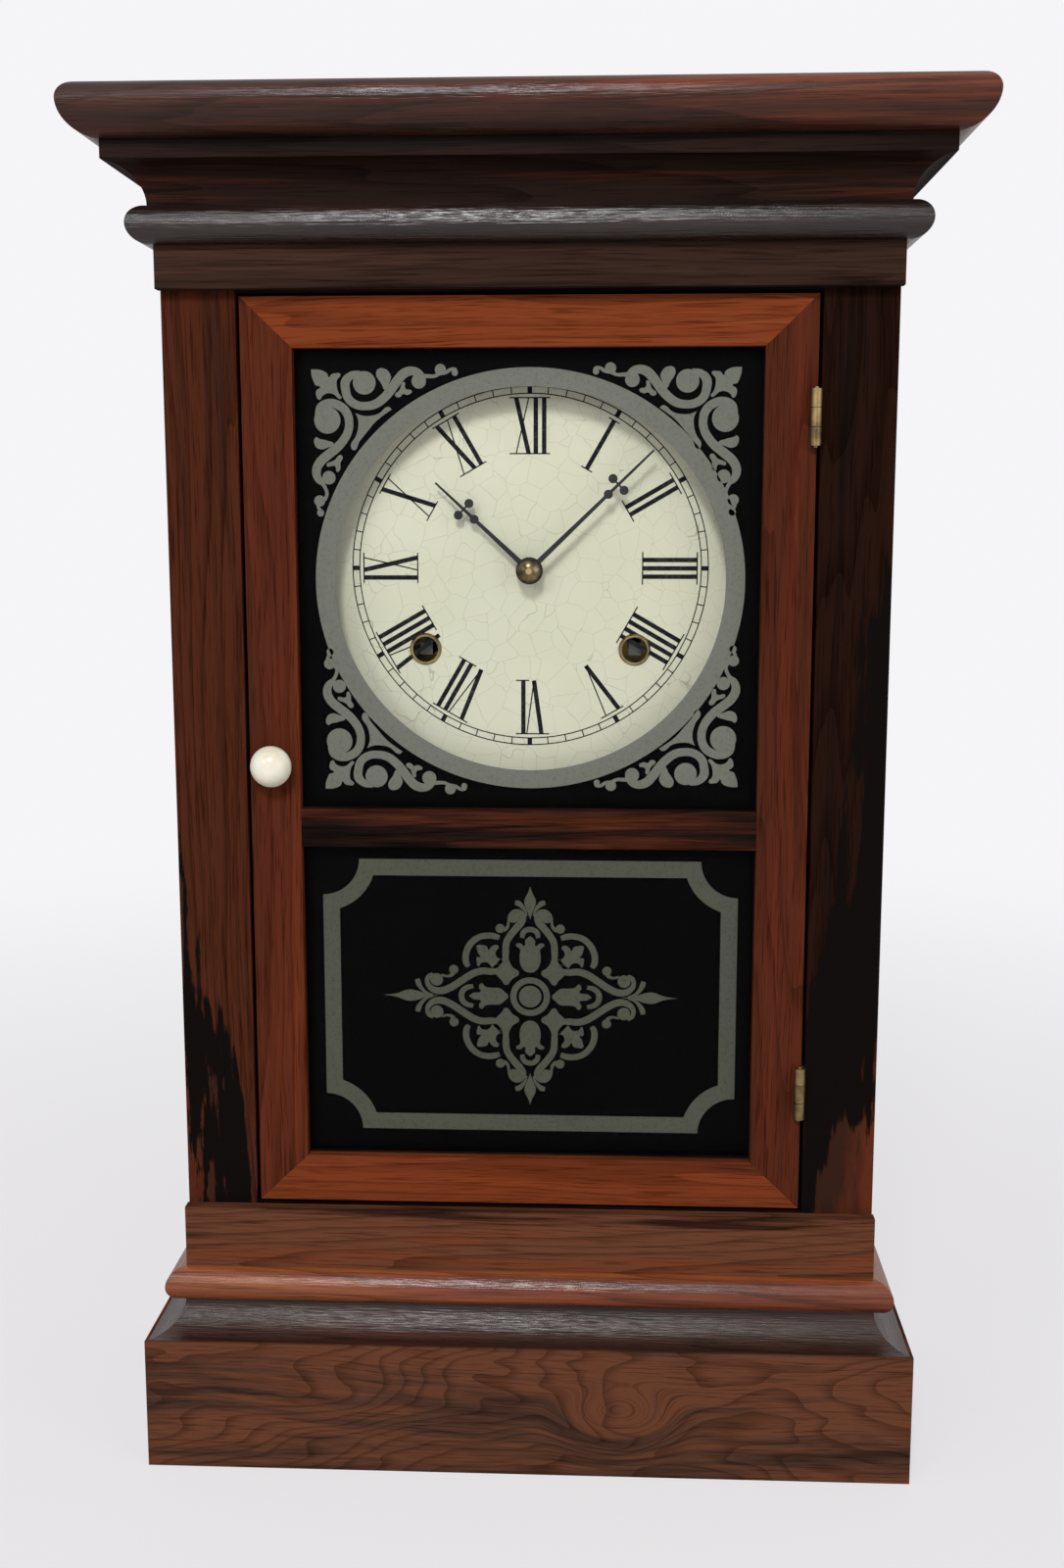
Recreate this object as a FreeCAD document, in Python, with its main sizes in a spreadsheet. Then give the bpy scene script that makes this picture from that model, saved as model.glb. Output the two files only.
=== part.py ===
import FreeCAD, Part
import math
import os
from types import SimpleNamespace

import Sketcher
from FreeCAD import Rotation, Vector

# Cornice-top shelf clock with an eight-day time and strike movement, in millimetres.
# X is to the right, Y towards the back, Z up. While it is drawn, the front of the
# stiles is y = 0; each finished piece is then moved so that the whole is centred.

driving = {
    # case
    "bodyHalf": 125.4, "stileWidth": 25.5, "stileThick": 13.0, "sideThick": 10.0,
    "caseDepth": 104.0, "backThick": 6.0, "caseTop": 478.4, "topThick": 6.0,
    "facingProud": 5.0, "friezeSide": 0.7, "friezeDrop": 56.4,
    "railSide": 0.5, "sillTop": 95.0, "headDrop": 57.2,
    "shelfThick": 8.0, "bottomShelfTop": 92.0, "topShelfDrop": 42.4,
    "blockSide": 14.0, "blockHigh": 48.0,
    # mouldings: how far they stand out from the body, and their levels
    "mouldingForward": 4.2, "plinthOut": 13.7, "plinthTop": 48.5,
    "baseCoveFoot": 12.5, "baseCoveNeck": 1.0, "baseBeadLow": 60.1, "baseBeadHigh": 72.5,
    "baseBeadCore": 1.0, "topBeadLowDrop": 42.1, "topBeadHighDrop": 29.5, "topBeadCore": 2.0,
    "coveNeck": 2.1, "filletOut": 14.1, "filletDrop": 16.5, "capDrop": 10.5,
    "noseOut": 25.0, "capFlat": 20.4,
    # door
    "doorGap": 1.2, "doorFront": 1.0, "doorThick": 12.7, "doorBottom": 96.4, "doorTopDrop": 58.3,
    "doorStile": 17.8, "doorRail": 17.1, "barBottom": 229.1, "barHigh": 13.8,
    "rebateDepth": 4.0, "rebateWidth": 4.5, "glassThick": 2.0, "glassGap": 0.3,
    "beadThick": 4.0,
    # hinges
    "hingeInset": 0.7, "hingeForward": 1.2, "hingeLong": 19.0, "hingeUpper": 379.1, "hingeLower": 140.7,
    "knuckleRadius": 2.0, "pinRadius": 0.8, "pinPlay": 0.05, "leafThick": 0.9, "leafDeep": 10.5,
    "leafPlay": 0.3, "knuckleGap": 0.2, "pinCap": 0.6,
    "hingeScrewHead": 1.6, "hingeScrewShank": 0.8, "hingeScrewLong": 7.0, "hingeScrewRow": 6.2,
    "hingeScrewSpread": 6.0,
    # door knob and its latch
    "knobInset": 8.5, "knobLevel": 258.8, "knobRadius": 6.5, "knobNeck": 3.6, "knobNeckLong": 2.2,
    "knobBody": 8.2, "knobDome": 3.4, "knobShaft": 1.8, "tongueThick": 1.2, "tongueWidth": 6.0,
    "tongueReach": 17.0, "tongueGap": 0.3,
    # dial
    "dialFront": 19.0, "dialThick": 0.6, "dialHalf": 94.0, "dialBottom": 238.0, "dialTop": 414.0,
    "dialRailLap": 9.0, "dialRailThick": 12.0, "dialRailSpare": 6.0,
    "arborLevel": 326.8, "windSide": 37.6, "windDrop": 28.2,
    "grommetHole": 4.55, "grommetOuter": 5.8, "grommetProud": 1.0, "grommetWall": 0.7,
    "dialCentreHole": 4.5, "dialScrewHead": 2.2, "dialScrewShank": 1.0, "dialScrewLong": 8.0,
    "dialScrewInset": 5.0,
    # hands
    "minutePlane": 11.6, "hourPlane": 14.6, "handThick": 0.5, "minuteReach": 60.6, "hourReach": 45.3,
    "handNutRadius": 4.3, "handNutHigh": 2.6, "handNutSlot": 0.9, "handNutSlotDeep": 1.0,
    "handBall": 1.6, "minuteBallAt": 38.6, "minuteTrefoilAt": 43.5, "hourBallAt": 26.6,
    "hourTrefoilAt": 31.7, "trefoilSide": 2.8, "handRoot": 1.0, "handTipWidth": 0.35,
    "handBoss": 3.9, "hourBoss": 4.8, "handNutRim": 0.9,
    # movement plates
    "plateFront": 44.0, "plateThick": 1.5, "plateBay": 26.0, "plateHalf": 62.0,
    "plateLow": 56.0, "plateHigh": 60.0, "windowNear": 22.0, "windowFar": 52.0, "windowFoot": 8.0,
    "windowHead": 50.0, "lowWindowHalf": 16.0, "lowWindowFoot": 47.0, "lowWindowHead": 20.0,
    "pillarRadius": 2.6, "pillarInset": 4.6, "pillarStud": 1.5, "studProud": 0.8,
    "plateNutRadius": 3.4, "plateNutHigh": 2.4, "footRadius": 4.0,
    # arbors
    "arborRadius": 1.3, "pivotRadius": 0.8, "pivotPlay": 0.05, "endPlay": 0.3,
    "windArbor": 3.0, "windPivot": 2.4, "windSquare": 4.4, "squareFront": 22.0,
    "centreArbor": 1.1, "centreFront": 9.4, "collarRadius": 1.9, "collarGap": 0.4,
    "pipeWall": 0.8, "pipePlay": 0.1,
    # wheels
    "wheelThick": 1.4, "greatThick": 2.0, "greatModule": 0.52, "secondModule": 0.55,
    "centreModule": 0.5, "thirdModule": 0.4, "motionModule": 0.45,
    "greatPlane": 48.0, "secondPlane": 51.6, "centrePlane": 60.0, "thirdPlane": 66.0,
    "escapePlane": 55.0, "minuteWheelPlane": 40.0, "hourWheelPlane": 36.0, "pinionSpare": 1.0,
    "motionSpare": 0.4, "minuteStud": 0.9, "studFront": 34.0,
    "greatHub": 10.5, "secondHub": 5.0, "centreHub": 4.0, "thirdHub": 3.6, "escapeHub": 3.0,
    "rimWidth": 1.8, "spokeHalf": 1.1,
    "ratchetRadius": 7.0, "ratchetDeep": 1.2, "ratchetThick": 1.0, "clickGap": 0.5, "clickHigh": 2.4,
    "clickHalf": 3.0, "escapeRadius": 12.0, "escapeDeep": 2.2, "escapeRise": 32.0,
    # mainsprings
    "springWide": 13.0, "springFront": 55.5, "springClear": 0.3, "springStrip": 0.5, "hookClear": 0.15,
    # verge and its crutch
    "vergeRise": 49.5, "palletWidth": 4.0, "palletThick": 0.5, "palletSide": 8.25, "palletTip": 6.5,
    "palletShoulder": 5.2, "palletNeck": 3.0, "palletCrown": 2.4, "webHalf": 1.0,
    "crutchReach": 17.0, "crutchWire": 0.7, "crutchPlane": 77.3, "forkGap": 0.3, "forkWire": 0.5,
    "forkBar": 0.8,
    "forkLong": 4.7, "vergeEnd": 78.2,
    # pendulum and its suspension
    "pendulumPlane": 80.0, "pendulumLong": 229.8, "rodRadius": 0.9, "rodGap": 0.3, "bobRadius": 22.0,
    "bobThick": 8.0, "bobRim": 2.0, "bobPlay": 0.05, "ratingNutRadius": 4.0, "ratingNutHigh": 3.0,
    "ratingNutGap": 0.2, "rodTail": 9.0, "postSide": 3.0, "postRise": 5.0, "postHigh": 5.0,
    "postLong": 10.0, "springLeaf": 0.3, "leafWidth": 3.0,
    # strike hammer and gong
    "hammerSide": 20.0, "hammerDrop": 50.0, "hammerWire": 1.0, "hammerReach": 52.0,
    "hammerHead": 4.0, "hammerHeadLong": 9.0, "hammerPlane": 88.0,
    "gongLevel": 215.0, "gongStand": 8.0, "gongInner": 12.0, "gongPitch": 7.0, "gongWire": 1.5,
    "gongBase": 10.2, "gongBaseLong": 11.0, "gongLug": 14.0, "gongLugHalf": 2.5, "gongLugLong": 10.5,
    # back screws
    "backScrewHead": 3.2, "backScrewShank": 1.5, "backScrewSink": 1.8, "backScrewLong": 14.0,
    "backScrewSlot": 0.8, "backScrewSlotDeep": 0.7, "backScrewSide": 84.0,
    "overrun": 2.0,
}

# whole numbers: teeth, leaves and turns
great_teeth, second_leaves = 84, 12
second_teeth, centre_leaves = 72, 12
centre_teeth, third_leaves = 64, 8
third_teeth, escape_leaves = 78, 6
escape_teeth = 36
cannon_leaves, minute_teeth = 12, 36
minute_leaves, hour_teeth = 9, 36
ratchet_teeth = 20
spokes = 4
spring_half_turns = 14
gong_half_turns = 7

# where the hands and the nut's slot point at rest, in degrees clockwise from twelve
minute_angle, hour_angle, nut_angle = 46.2, 312.8, 50.0
# where the hammer hangs, clockwise from straight down, and where the minute wheel's stud is,
# anticlockwise from three o'clock
hammer_angle, stud_angle = 24.0, 225.0

# half widths at root, pitch line and tip as shares of a tooth's pitch, then the tooth's rise
# and depth as shares of the module
wheel_shares = (0.22, 0.19, 0.05, 1.1, 1.2)
leaf_shares = (0.13, 0.16, 0.06, 0.7, 1.5)
escape_tip_share, escape_back_share = 0.55, 0.8

os.makedirs("parts", exist_ok=True)
doc = FreeCAD.newDocument("ShelfClock")
sheet = doc.addObject("Spreadsheet::Sheet", "sizes")


class Size:
    """A size with its number and the formula that the document follows."""

    def __init__(self, value, text):
        self.value = float(value)
        self.text = text

    def __add__(self, other):
        return Size(self.value + other.value, f"({self.text} + {other.text})")

    def __sub__(self, other):
        return Size(self.value - other.value, f"({self.text} - {other.text})")

    def __neg__(self):
        return Size(-self.value, f"(0 - {self.text})")

    def __mul__(self, other):
        return Size(self.value * other.value, f"({self.text} * {other.text})")

    def __truediv__(self, other):
        return Size(self.value / other.value, f"({self.text} / {other.text})")

    def times(self, factor):
        return Size(self.value * factor, f"({self.text} * {factor!r})")

    def half(self):
        return Size(self.value / 2, f"({self.text} / 2)")

    def root(self):
        return Size(math.sqrt(self.value), f"sqrt({self.text})")


for row, (name, number) in enumerate(driving.items(), start=1):
    sheet.set(f"A{row}", name)
    sheet.set(f"B{row}", str(number))
    sheet.setAlias(f"B{row}", name)
doc.recompute()
s = SimpleNamespace(**{name: Size(number, f"sizes.{name}") for name, number in driving.items()})
zero = Size(0, "0")

# the clock stands centred on its own box, from the cornice to the back
rowShift = -(s.caseDepth - s.noseOut - s.mouldingForward).half()
drawnY = {}
subparts = []
worked = []


def derive(name, size):
    """Give a worked-out size its own cell and name in the sheet."""
    worked.append(name)
    cell = f"B{len(driving) + len(worked)}"
    sheet.set(cell, "=" + size.text.replace("sizes.", ""))
    sheet.setAlias(cell, name)
    return Size(size.value, f"sizes.{name}")


def bind(item, prop, size):
    item.setExpression(prop, size.text)


def keep(item, name):
    """Name a finished sub-part and move it from the drawing place to the row frame."""
    item.Label = name
    if item.Label != name:
        raise RuntimeError(f"{name} is already taken")
    bind(item, "Placement.Base.y", drawnY.get(item.Name, zero) + rowShift)
    subparts.append(item)
    return item


def put(item, x, y, z):
    drawnY[item.Name] = y
    for axis, size in zip("xyz", (x, y, z)):
        bind(item, f"Placement.Base.{axis}", size)


def box(name, x, y, z):
    block = doc.addObject("Part::Box", name)
    for prop, (low, high) in zip(("Length", "Width", "Height"), (x, y, z)):
        bind(block, prop, high - low)
    put(block, x[0], y[0], z[0])
    return block


turned = {"X": Rotation(Vector(0, 1, 0), 90), "Y": Rotation(Vector(1, 0, 0), -90), "Z": Rotation()}


def rod(name, at, radius, length, along="Y"):
    bar = doc.addObject("Part::Cylinder", name)
    bar.Placement.Rotation = turned[along]
    bind(bar, "Radius", radius)
    bind(bar, "Height", length)
    put(bar, *at)
    return bar


def cone(name, at, first, last, length, along="Y"):
    taper = doc.addObject("Part::Cone", name)
    taper.Placement.Rotation = turned[along]
    bind(taper, "Radius1", first)
    bind(taper, "Radius2", last)
    bind(taper, "Height", length)
    put(taper, *at)
    return taper


def join(name, pieces):
    whole = doc.addObject("Part::MultiFuse", name)
    whole.Shapes = pieces
    return whole


def group(name, pieces):
    many = doc.addObject("Part::Compound", name)
    many.Links = pieces
    return many


def cut(name, base, tools):
    result = doc.addObject("Part::Cut", name)
    result.Base = base
    result.Tool = tools[0] if len(tools) == 1 else join(name + "_tools", tools)
    return result


def mirrored(name, source):
    other = doc.addObject("Part::Mirroring", name)
    other.Source = source
    other.Normal = (1, 0, 0)
    return other


# Bodies with sketches


def new_body(name):
    return doc.addObject("PartDesign::Body", name)


def new_sketch(body, role, level=zero):
    """A sketch on one of the body's own planes; the XZ plane looks along -Y."""
    sketch = body.newObject("Sketcher::SketchObject", body.Name + "_sketch")
    plane = [f for f in body.Origin.OriginFeatures if f.Role == role][0]
    sketch.AttachmentSupport = [(plane, "")]
    sketch.MapMode = "FlatFace"
    bind(sketch, "AttachmentOffset.Base.z", -level if role == "XZ_Plane" else level)
    return sketch


def pin_point(sketch, edge, place, point):
    for kind, size, line in (("DistanceX", point[0], -2), ("DistanceY", point[1], -1)):
        if size.text == "0":
            sketch.addConstraint(Sketcher.Constraint("PointOnObject", edge, place, line))
        else:
            number = sketch.addConstraint(Sketcher.Constraint(kind, -1, 1, edge, place, size.value))
            bind(sketch, f"Constraints[{number}]", size)


def arc_between(start, end, centre, side):
    """The arc, drawn anticlockwise: a bulge to the left of the way along runs it backwards."""
    a, b = Vector(start[0].value, start[1].value, 0), Vector(end[0].value, end[1].value, 0)
    c = Vector(centre[0].value, centre[1].value, 0)
    middle = (a + b) * 0.5
    left = Vector(a.y - b.y, b.x - a.x, 0).normalize()
    c = middle + left * (c - middle).dot(left)
    first, last = (b - c, a - c) if side > 0 else (a - c, b - c)
    low, high = math.atan2(first.y, first.x), math.atan2(last.y, last.x)
    if high < low:
        high += 2 * math.pi
    return Part.ArcOfCircle(Part.Circle(c, Vector(0, 0, 1), (a - c).Length), low, high)


def outline(sketch, points, arcs=None):
    """A closed outline; arcs maps an edge number to (centre, +1 or -1 for its bulge to the left)."""
    arcs = arcs or {}
    ends, first = [], sketch.GeometryCount
    for i, point in enumerate(points):
        after = points[(i + 1) % len(points)]
        a = Vector(point[0].value, point[1].value, 0)
        b = Vector(after[0].value, after[1].value, 0)
        edge = arc_between(point, after, *arcs[i]) if i in arcs else Part.LineSegment(a, b)
        number = sketch.addGeometry(edge, False)
        backwards = i in arcs and arcs[i][1] > 0
        ends.append((number, 2, 1) if backwards else (number, 1, 2))
    for i, (number, start, end) in enumerate(ends):
        after = ends[(i + 1) % len(ends)]
        sketch.addConstraint(Sketcher.Constraint("Coincident", number, end, after[0], after[1]))
    for (number, start, end), point in zip(ends, points):
        pin_point(sketch, number, start, point)
    for i, (centre, side) in arcs.items():
        a, b = points[i], points[(i + 1) % len(points)]
        steep = abs(a[1].value - b[1].value) >= abs(a[0].value - b[0].value)
        kind, size = ("DistanceX", centre[0]) if steep else ("DistanceY", centre[1])
        number = sketch.addConstraint(Sketcher.Constraint(kind, -1, 1, first + i, 3, size.value))
        bind(sketch, f"Constraints[{number}]", size)


def ring(sketch, centre, radius):
    at = Vector(centre[0].value, centre[1].value, 0)
    edge = sketch.addGeometry(Part.Circle(at, Vector(0, 0, 1), radius.value), False)
    pin_point(sketch, edge, 3, centre)
    number = sketch.addConstraint(Sketcher.Constraint("Radius", edge, radius.value))
    bind(sketch, f"Constraints[{number}]", radius)


def pad(body, sketch, length, reverse=False, midplane=False):
    feature = body.newObject("PartDesign::Pad", body.Name + "_pad")
    feature.Profile = sketch
    feature.Reversed = reverse
    feature.Midplane = midplane
    bind(feature, "Length", length)
    return feature


def pocket(body, sketch, through=None, reverse=False):
    feature = body.newObject("PartDesign::Pocket", body.Name + "_pocket")
    feature.Profile = sketch
    if through is None:
        feature.Type = "ThroughAll"
        feature.Midplane = True
    else:
        bind(feature, "Length", through)
        feature.Reversed = reverse
    return feature


def turn(body, sketch):
    feature = body.newObject("PartDesign::Revolution", body.Name + "_turned")
    feature.Profile = sketch
    feature.ReferenceAxis = (sketch, ["V_Axis"])
    feature.Angle = 360
    return feature


def rectangle(x, z):
    return [(x[0], z[0]), (x[1], z[0]), (x[1], z[1]), (x[0], z[1])]


# Case boards


def make_case():
    inner = s.bodyHalf - s.sideThick
    opening = s.bodyHalf - s.stileWidth
    backFront = s.caseDepth - s.backThick
    side = box("side", (inner, s.bodyHalf), (s.stileThick, s.caseDepth), (zero, s.caseTop))
    keep(group("sides", [side, mirrored("side_mirror", side)]), "side_boards")
    stile = box("stile", (opening, s.bodyHalf), (zero, s.stileThick), (zero, s.caseTop))
    keep(group("stiles", [stile, mirrored("stile_mirror", stile)]), "front_stiles")
    head = box("head", (-opening, opening), (zero, s.stileThick), (s.headBottom, s.caseTop))
    sill = box("sill", (-opening, opening), (zero, s.stileThick), (zero, s.sillTop))
    keep(group("rails", [head, sill]), "front_rails")
    friezeHalf = s.bodyHalf + s.friezeSide
    keep(box("frieze_part", (-friezeHalf, friezeHalf), (-s.facingProud, zero),
             (s.friezeBottom, s.caseTop)), "frieze_board")
    railHalf = s.bodyHalf + s.railSide
    keep(box("lower_rail_part", (-railHalf, railHalf), (-s.facingProud, zero),
             (zero, s.sillTop)), "lower_rail")
    shelves = [box("shelf_" + name, (-inner, inner), (s.stileThick, backFront), (low, low + s.shelfThick))
               for name, low in (("low", s.bottomShelfTop - s.shelfThick), ("high", s.topShelfBottom))]
    keep(group("shelves", shelves), "case_shelves")
    screws, seats = back_screws()
    back = box("back_part", (-inner, inner), (backFront, s.caseDepth), (zero, s.caseTop))
    keep(cut("back_bored", back, seats), "back_board")
    keep(box("top_part", (-s.bodyHalf, s.bodyHalf), (-s.facingProud, s.caseDepth),
             (s.caseTop, s.caseTop + s.topThick)), "cornice_top_board")
    underShelf = s.bottomShelfTop - s.shelfThick
    block = (inner - s.blockSide, inner), (s.stileThick, s.stileThick + s.blockSide)
    rear = (inner - s.blockSide, inner), (backFront - s.blockSide, backFront)
    level = (underShelf - s.blockHigh, underShelf)
    front_block = box("front_block", *block, level)
    rear_block = box("rear_block", *rear, level)
    keep(group("blocks", [front_block, rear_block, mirrored("front_block_mirror", front_block),
                          mirrored("rear_block_mirror", rear_block)]), "glue_blocks")
    return screws


def back_screws():
    """Slotted screws, flush with the back, and copies of their heads to sink them with."""
    screws, seats = [], []
    levels = s.bottomShelfTop - s.shelfThick.half(), s.topShelfBottom + s.shelfThick.half()
    start = s.caseDepth - s.backScrewSink
    for n, (x, z) in enumerate((x, z) for x in (-s.backScrewSide, zero, s.backScrewSide) for z in levels):
        heads = [cone(f"back_screw_{part}_{n}", (x, start, z), s.backScrewShank, s.backScrewHead,
                      s.backScrewSink) for part in ("head", "seat")]
        stem = rod(f"back_screw_stem_{n}", (x, s.caseDepth - s.backScrewLong, z), s.backScrewShank,
                   s.backScrewLong - s.backScrewSink)
        slot = box(f"back_screw_slot_{n}", (x - s.backScrewHead, x + s.backScrewHead),
                   (s.caseDepth - s.backScrewSlotDeep, s.caseDepth + s.overrun),
                   (z - s.backScrewSlot.half(), z + s.backScrewSlot.half()))
        screws.append(cut(f"back_screw_{n}", join(f"back_screw_blank_{n}", [heads[0], stem]), [slot]))
        seats.append(heads[1])
    return screws, seats


# Mouldings, mitred round the front corners


def mitred(name, edge, arcs, back):
    """Front length and two returns; edge lists (stand-out, level) from the bottom to the top."""
    reach = s.noseOut + s.overrun
    backFront, backSide = back
    front = new_body(name + "_front")
    places = [backFront] + edge + [(backFront[0], edge[-1][1])]
    face = new_sketch(front, "YZ_Plane")
    flip = {i + 1: ((-(c[0]) - s.mouldingForward, c[1]), -side) for i, (c, side) in arcs.items()}
    outline(face, [(-(p) - s.mouldingForward, z) for p, z in places], flip)
    pad(front, face, (s.bodyHalf + reach).times(2), midplane=True)
    corner = (s.bodyHalf, -s.mouldingForward)
    outer = (s.bodyHalf + reach, -s.mouldingForward - reach)
    mitre = new_sketch(front, "XY_Plane")
    outline(mitre, [corner, outer, (outer[0], corner[1])])
    outline(mitre, [(-corner[0], corner[1]), (-outer[0], corner[1]), (-outer[0], outer[1])])
    pocket(front, mitre)
    right = new_body(name + "_return")
    section = new_sketch(right, "XZ_Plane", -s.mouldingForward - reach)
    places = [backSide] + edge + [(backSide[0], edge[-1][1])]
    turnedArcs = {i + 1: ((s.bodyHalf + c[0], c[1]), side) for i, (c, side) in arcs.items()}
    outline(section, [(s.bodyHalf + p, z) for p, z in places], turnedArcs)
    pad(right, section, s.caseDepth + s.mouldingForward + reach, reverse=True)
    corner_cut = new_sketch(right, "XY_Plane")
    outline(corner_cut, [(corner[0] - s.overrun, corner[1] + s.overrun), outer,
                         (corner[0] - s.overrun, outer[1] - s.overrun)])
    pocket(right, corner_cut)
    return front, right


def keep_moulding(name, edge, arcs, facingSide):
    foot = edge[0][1]
    front, right = mitred(name, edge, arcs, ((s.facingProud - s.mouldingForward, foot), (zero, foot)))
    top = edge[-1][1]
    notch = box(name + "_notch", (s.bodyHalf, s.bodyHalf + facingSide), (-s.facingProud, zero), (foot, top))
    trimmed = cut(name + "_trimmed", right, [notch])
    keep(group(name + "_set", [front, trimmed, mirrored(name + "_left", trimmed)]), name)


def make_mouldings():
    keep_moulding("plinth", [(s.plinthOut, zero), (s.plinthOut, s.plinthTop)], {}, s.railSide)
    radius = s.baseCoveFoot - s.baseCoveNeck
    keep_moulding("base_cove", [(s.baseCoveFoot, s.plinthTop), (s.baseCoveNeck, s.baseBeadLow)],
                  {0: ((s.baseCoveNeck + radius, s.baseBeadLow), 1)}, s.railSide)
    for name, core, low, high, facing in (
            ("base_bead", s.baseBeadCore, s.baseBeadLow, s.baseBeadHigh, s.railSide),
            ("cornice_bead", s.topBeadCore, s.topBeadLow, s.topBeadHigh, s.friezeSide)):
        middle, radius = (low + high).half(), (high - low).half()
        keep_moulding(name, [(core, low), (core + radius, middle), (core, high)],
                      {0: ((core, middle), -1), 1: ((core, middle), -1)}, facing)
    coveRadius = s.filletLow - s.topBeadHigh
    keep_moulding("cornice_cove",
                  [(s.coveNeck, s.topBeadHigh), (s.filletOut, s.filletLow), (s.filletOut, s.capLow)],
                  {0: ((s.coveNeck + coveRadius, s.topBeadHigh), 1)}, s.friezeSide)


# Cornice cap: a thumb moulding on a flat slab


def make_cap():
    top = s.caseTop + s.topThick
    edge = [(s.filletOut, s.capLow), (s.noseOut, s.caseTop), (s.capFlat, top)]
    under = (s.filletOut, s.capLow + (s.noseOut - s.filletOut))
    over = (s.noseOut - (top - s.caseTop), s.caseTop)
    keep_moulding("cornice_cap", edge, {0: (under, -1), 1: (over, -1)}, s.friezeSide)


# Door


def door_frame():
    """The door's corners and sight edges: (half width, inner half, low, high, sight low, sight high)."""
    half = s.bodyHalf - s.stileWidth - s.doorGap
    inner = half - s.doorStile
    return half, inner, s.doorBottom, s.doorTop, s.doorBottom + s.doorRail, s.doorTop - s.doorRail


def rebate(body, x, z):
    channel = new_sketch(body, "XZ_Plane", s.doorFront + s.doorThick)
    outline(channel, rectangle(x, z))
    pocket(body, channel, through=s.doorThick - s.rebateDepth, reverse=True)


def make_door():
    half, inner, low, high, sightLow, sightHigh = door_frame()
    deep = inner + s.rebateWidth
    for side in ("right", "left"):
        stile = new_body(f"{side}_door_side")
        face = new_sketch(stile, "XZ_Plane", s.doorFront)
        corners = [(inner, sightLow), (half, low), (half, high), (inner, sightHigh)]
        if side == "left":
            corners = [(-x, z) for x, z in reversed(corners)]
        outline(face, corners)
        pad(stile, face, s.doorThick, reverse=True)
        channel = (inner - s.overrun, deep)
        if side == "left":
            channel = (-deep, -inner + s.overrun)
        rebate(stile, channel, (sightLow - s.rebateWidth, sightHigh + s.rebateWidth))
        if side == "left":
            bore = new_sketch(stile, "XZ_Plane")
            ring(bore, (-s.knobX, s.knobLevel), s.knobShaft + s.pinPlay)
            pocket(stile, bore)
            keep(stile, "door_left_stile")
        else:
            seats = [box(f"leaf_seat_{n}", (half - s.leafThick, half + s.overrun),
                         (zero, s.leafDeep + s.knuckleRadius - s.hingeForward + s.leafPlay),
                         (level - s.hingeLong.half(), level + s.hingeLong.half()))
                     for n, level in (("upper", s.hingeUpper), ("lower", s.hingeLower))]
            keep(cut("door_right_stile_seated", stile, seats), "door_right_stile")
    for name, outer, sight in (("top", high, sightHigh), ("bottom", low, sightLow)):
        rail = new_body(f"door_{name}_rail")
        face = new_sketch(rail, "XZ_Plane", s.doorFront)
        corners = [(-half, outer), (half, outer), (inner, sight), (-inner, sight)]
        outline(face, corners if name == "bottom" else list(reversed(corners)))
        pad(rail, face, s.doorThick, reverse=True)
        level = (sight - s.overrun, sight + s.rebateWidth)
        if name == "bottom":
            level = (sight - s.rebateWidth, sight + s.overrun)
        rebate(rail, (-deep, deep), level)
        keep(rail, f"door_{name}_rail")
    bar = new_body("door_middle_bar")
    face = new_sketch(bar, "YZ_Plane")
    lip, back = s.doorFront + s.rebateDepth, s.doorFront + s.doorThick
    barTop = s.barBottom + s.barHigh
    outline(face, [(s.doorFront, s.barBottom), (lip, s.barBottom), (lip, s.barBottom + s.rebateWidth),
                   (back, s.barBottom + s.rebateWidth), (back, barTop - s.rebateWidth),
                   (lip, barTop - s.rebateWidth), (lip, barTop), (s.doorFront, barTop)])
    pad(bar, face, inner.times(2), midplane=True)
    keep(bar, "door_middle_bar")
    make_glass(inner, deep, lip, sightLow, sightHigh, barTop)


def make_glass(inner, deep, lip, sightLow, sightHigh, barTop):
    edge = deep - s.glassGap
    beads = []
    panes = (("dial_glass", barTop, sightHigh), ("tablet_glass", sightLow, s.barBottom))
    for name, low, high in panes:
        bottom = low - s.rebateWidth + s.glassGap
        top = high + s.rebateWidth - s.glassGap
        keep(box(name + "_pane", (-edge, edge), (lip, lip + s.glassThick), (bottom, top)), name)
        depth = (lip + s.glassThick, lip + s.glassThick + s.beadThick)
        beads.append(box(name + "_bead_right", (inner, edge), depth, (bottom, top)))
        beads.append(box(name + "_bead_left", (-edge, -inner), depth, (bottom, top)))
        beads.append(box(name + "_bead_low", (-inner, inner), depth, (bottom, low)))
        beads.append(box(name + "_bead_high", (-inner, inner), depth, (high, top)))
    keep(group("beads", beads), "glazing_beads")


# Butt hinges with three knuckles


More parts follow.
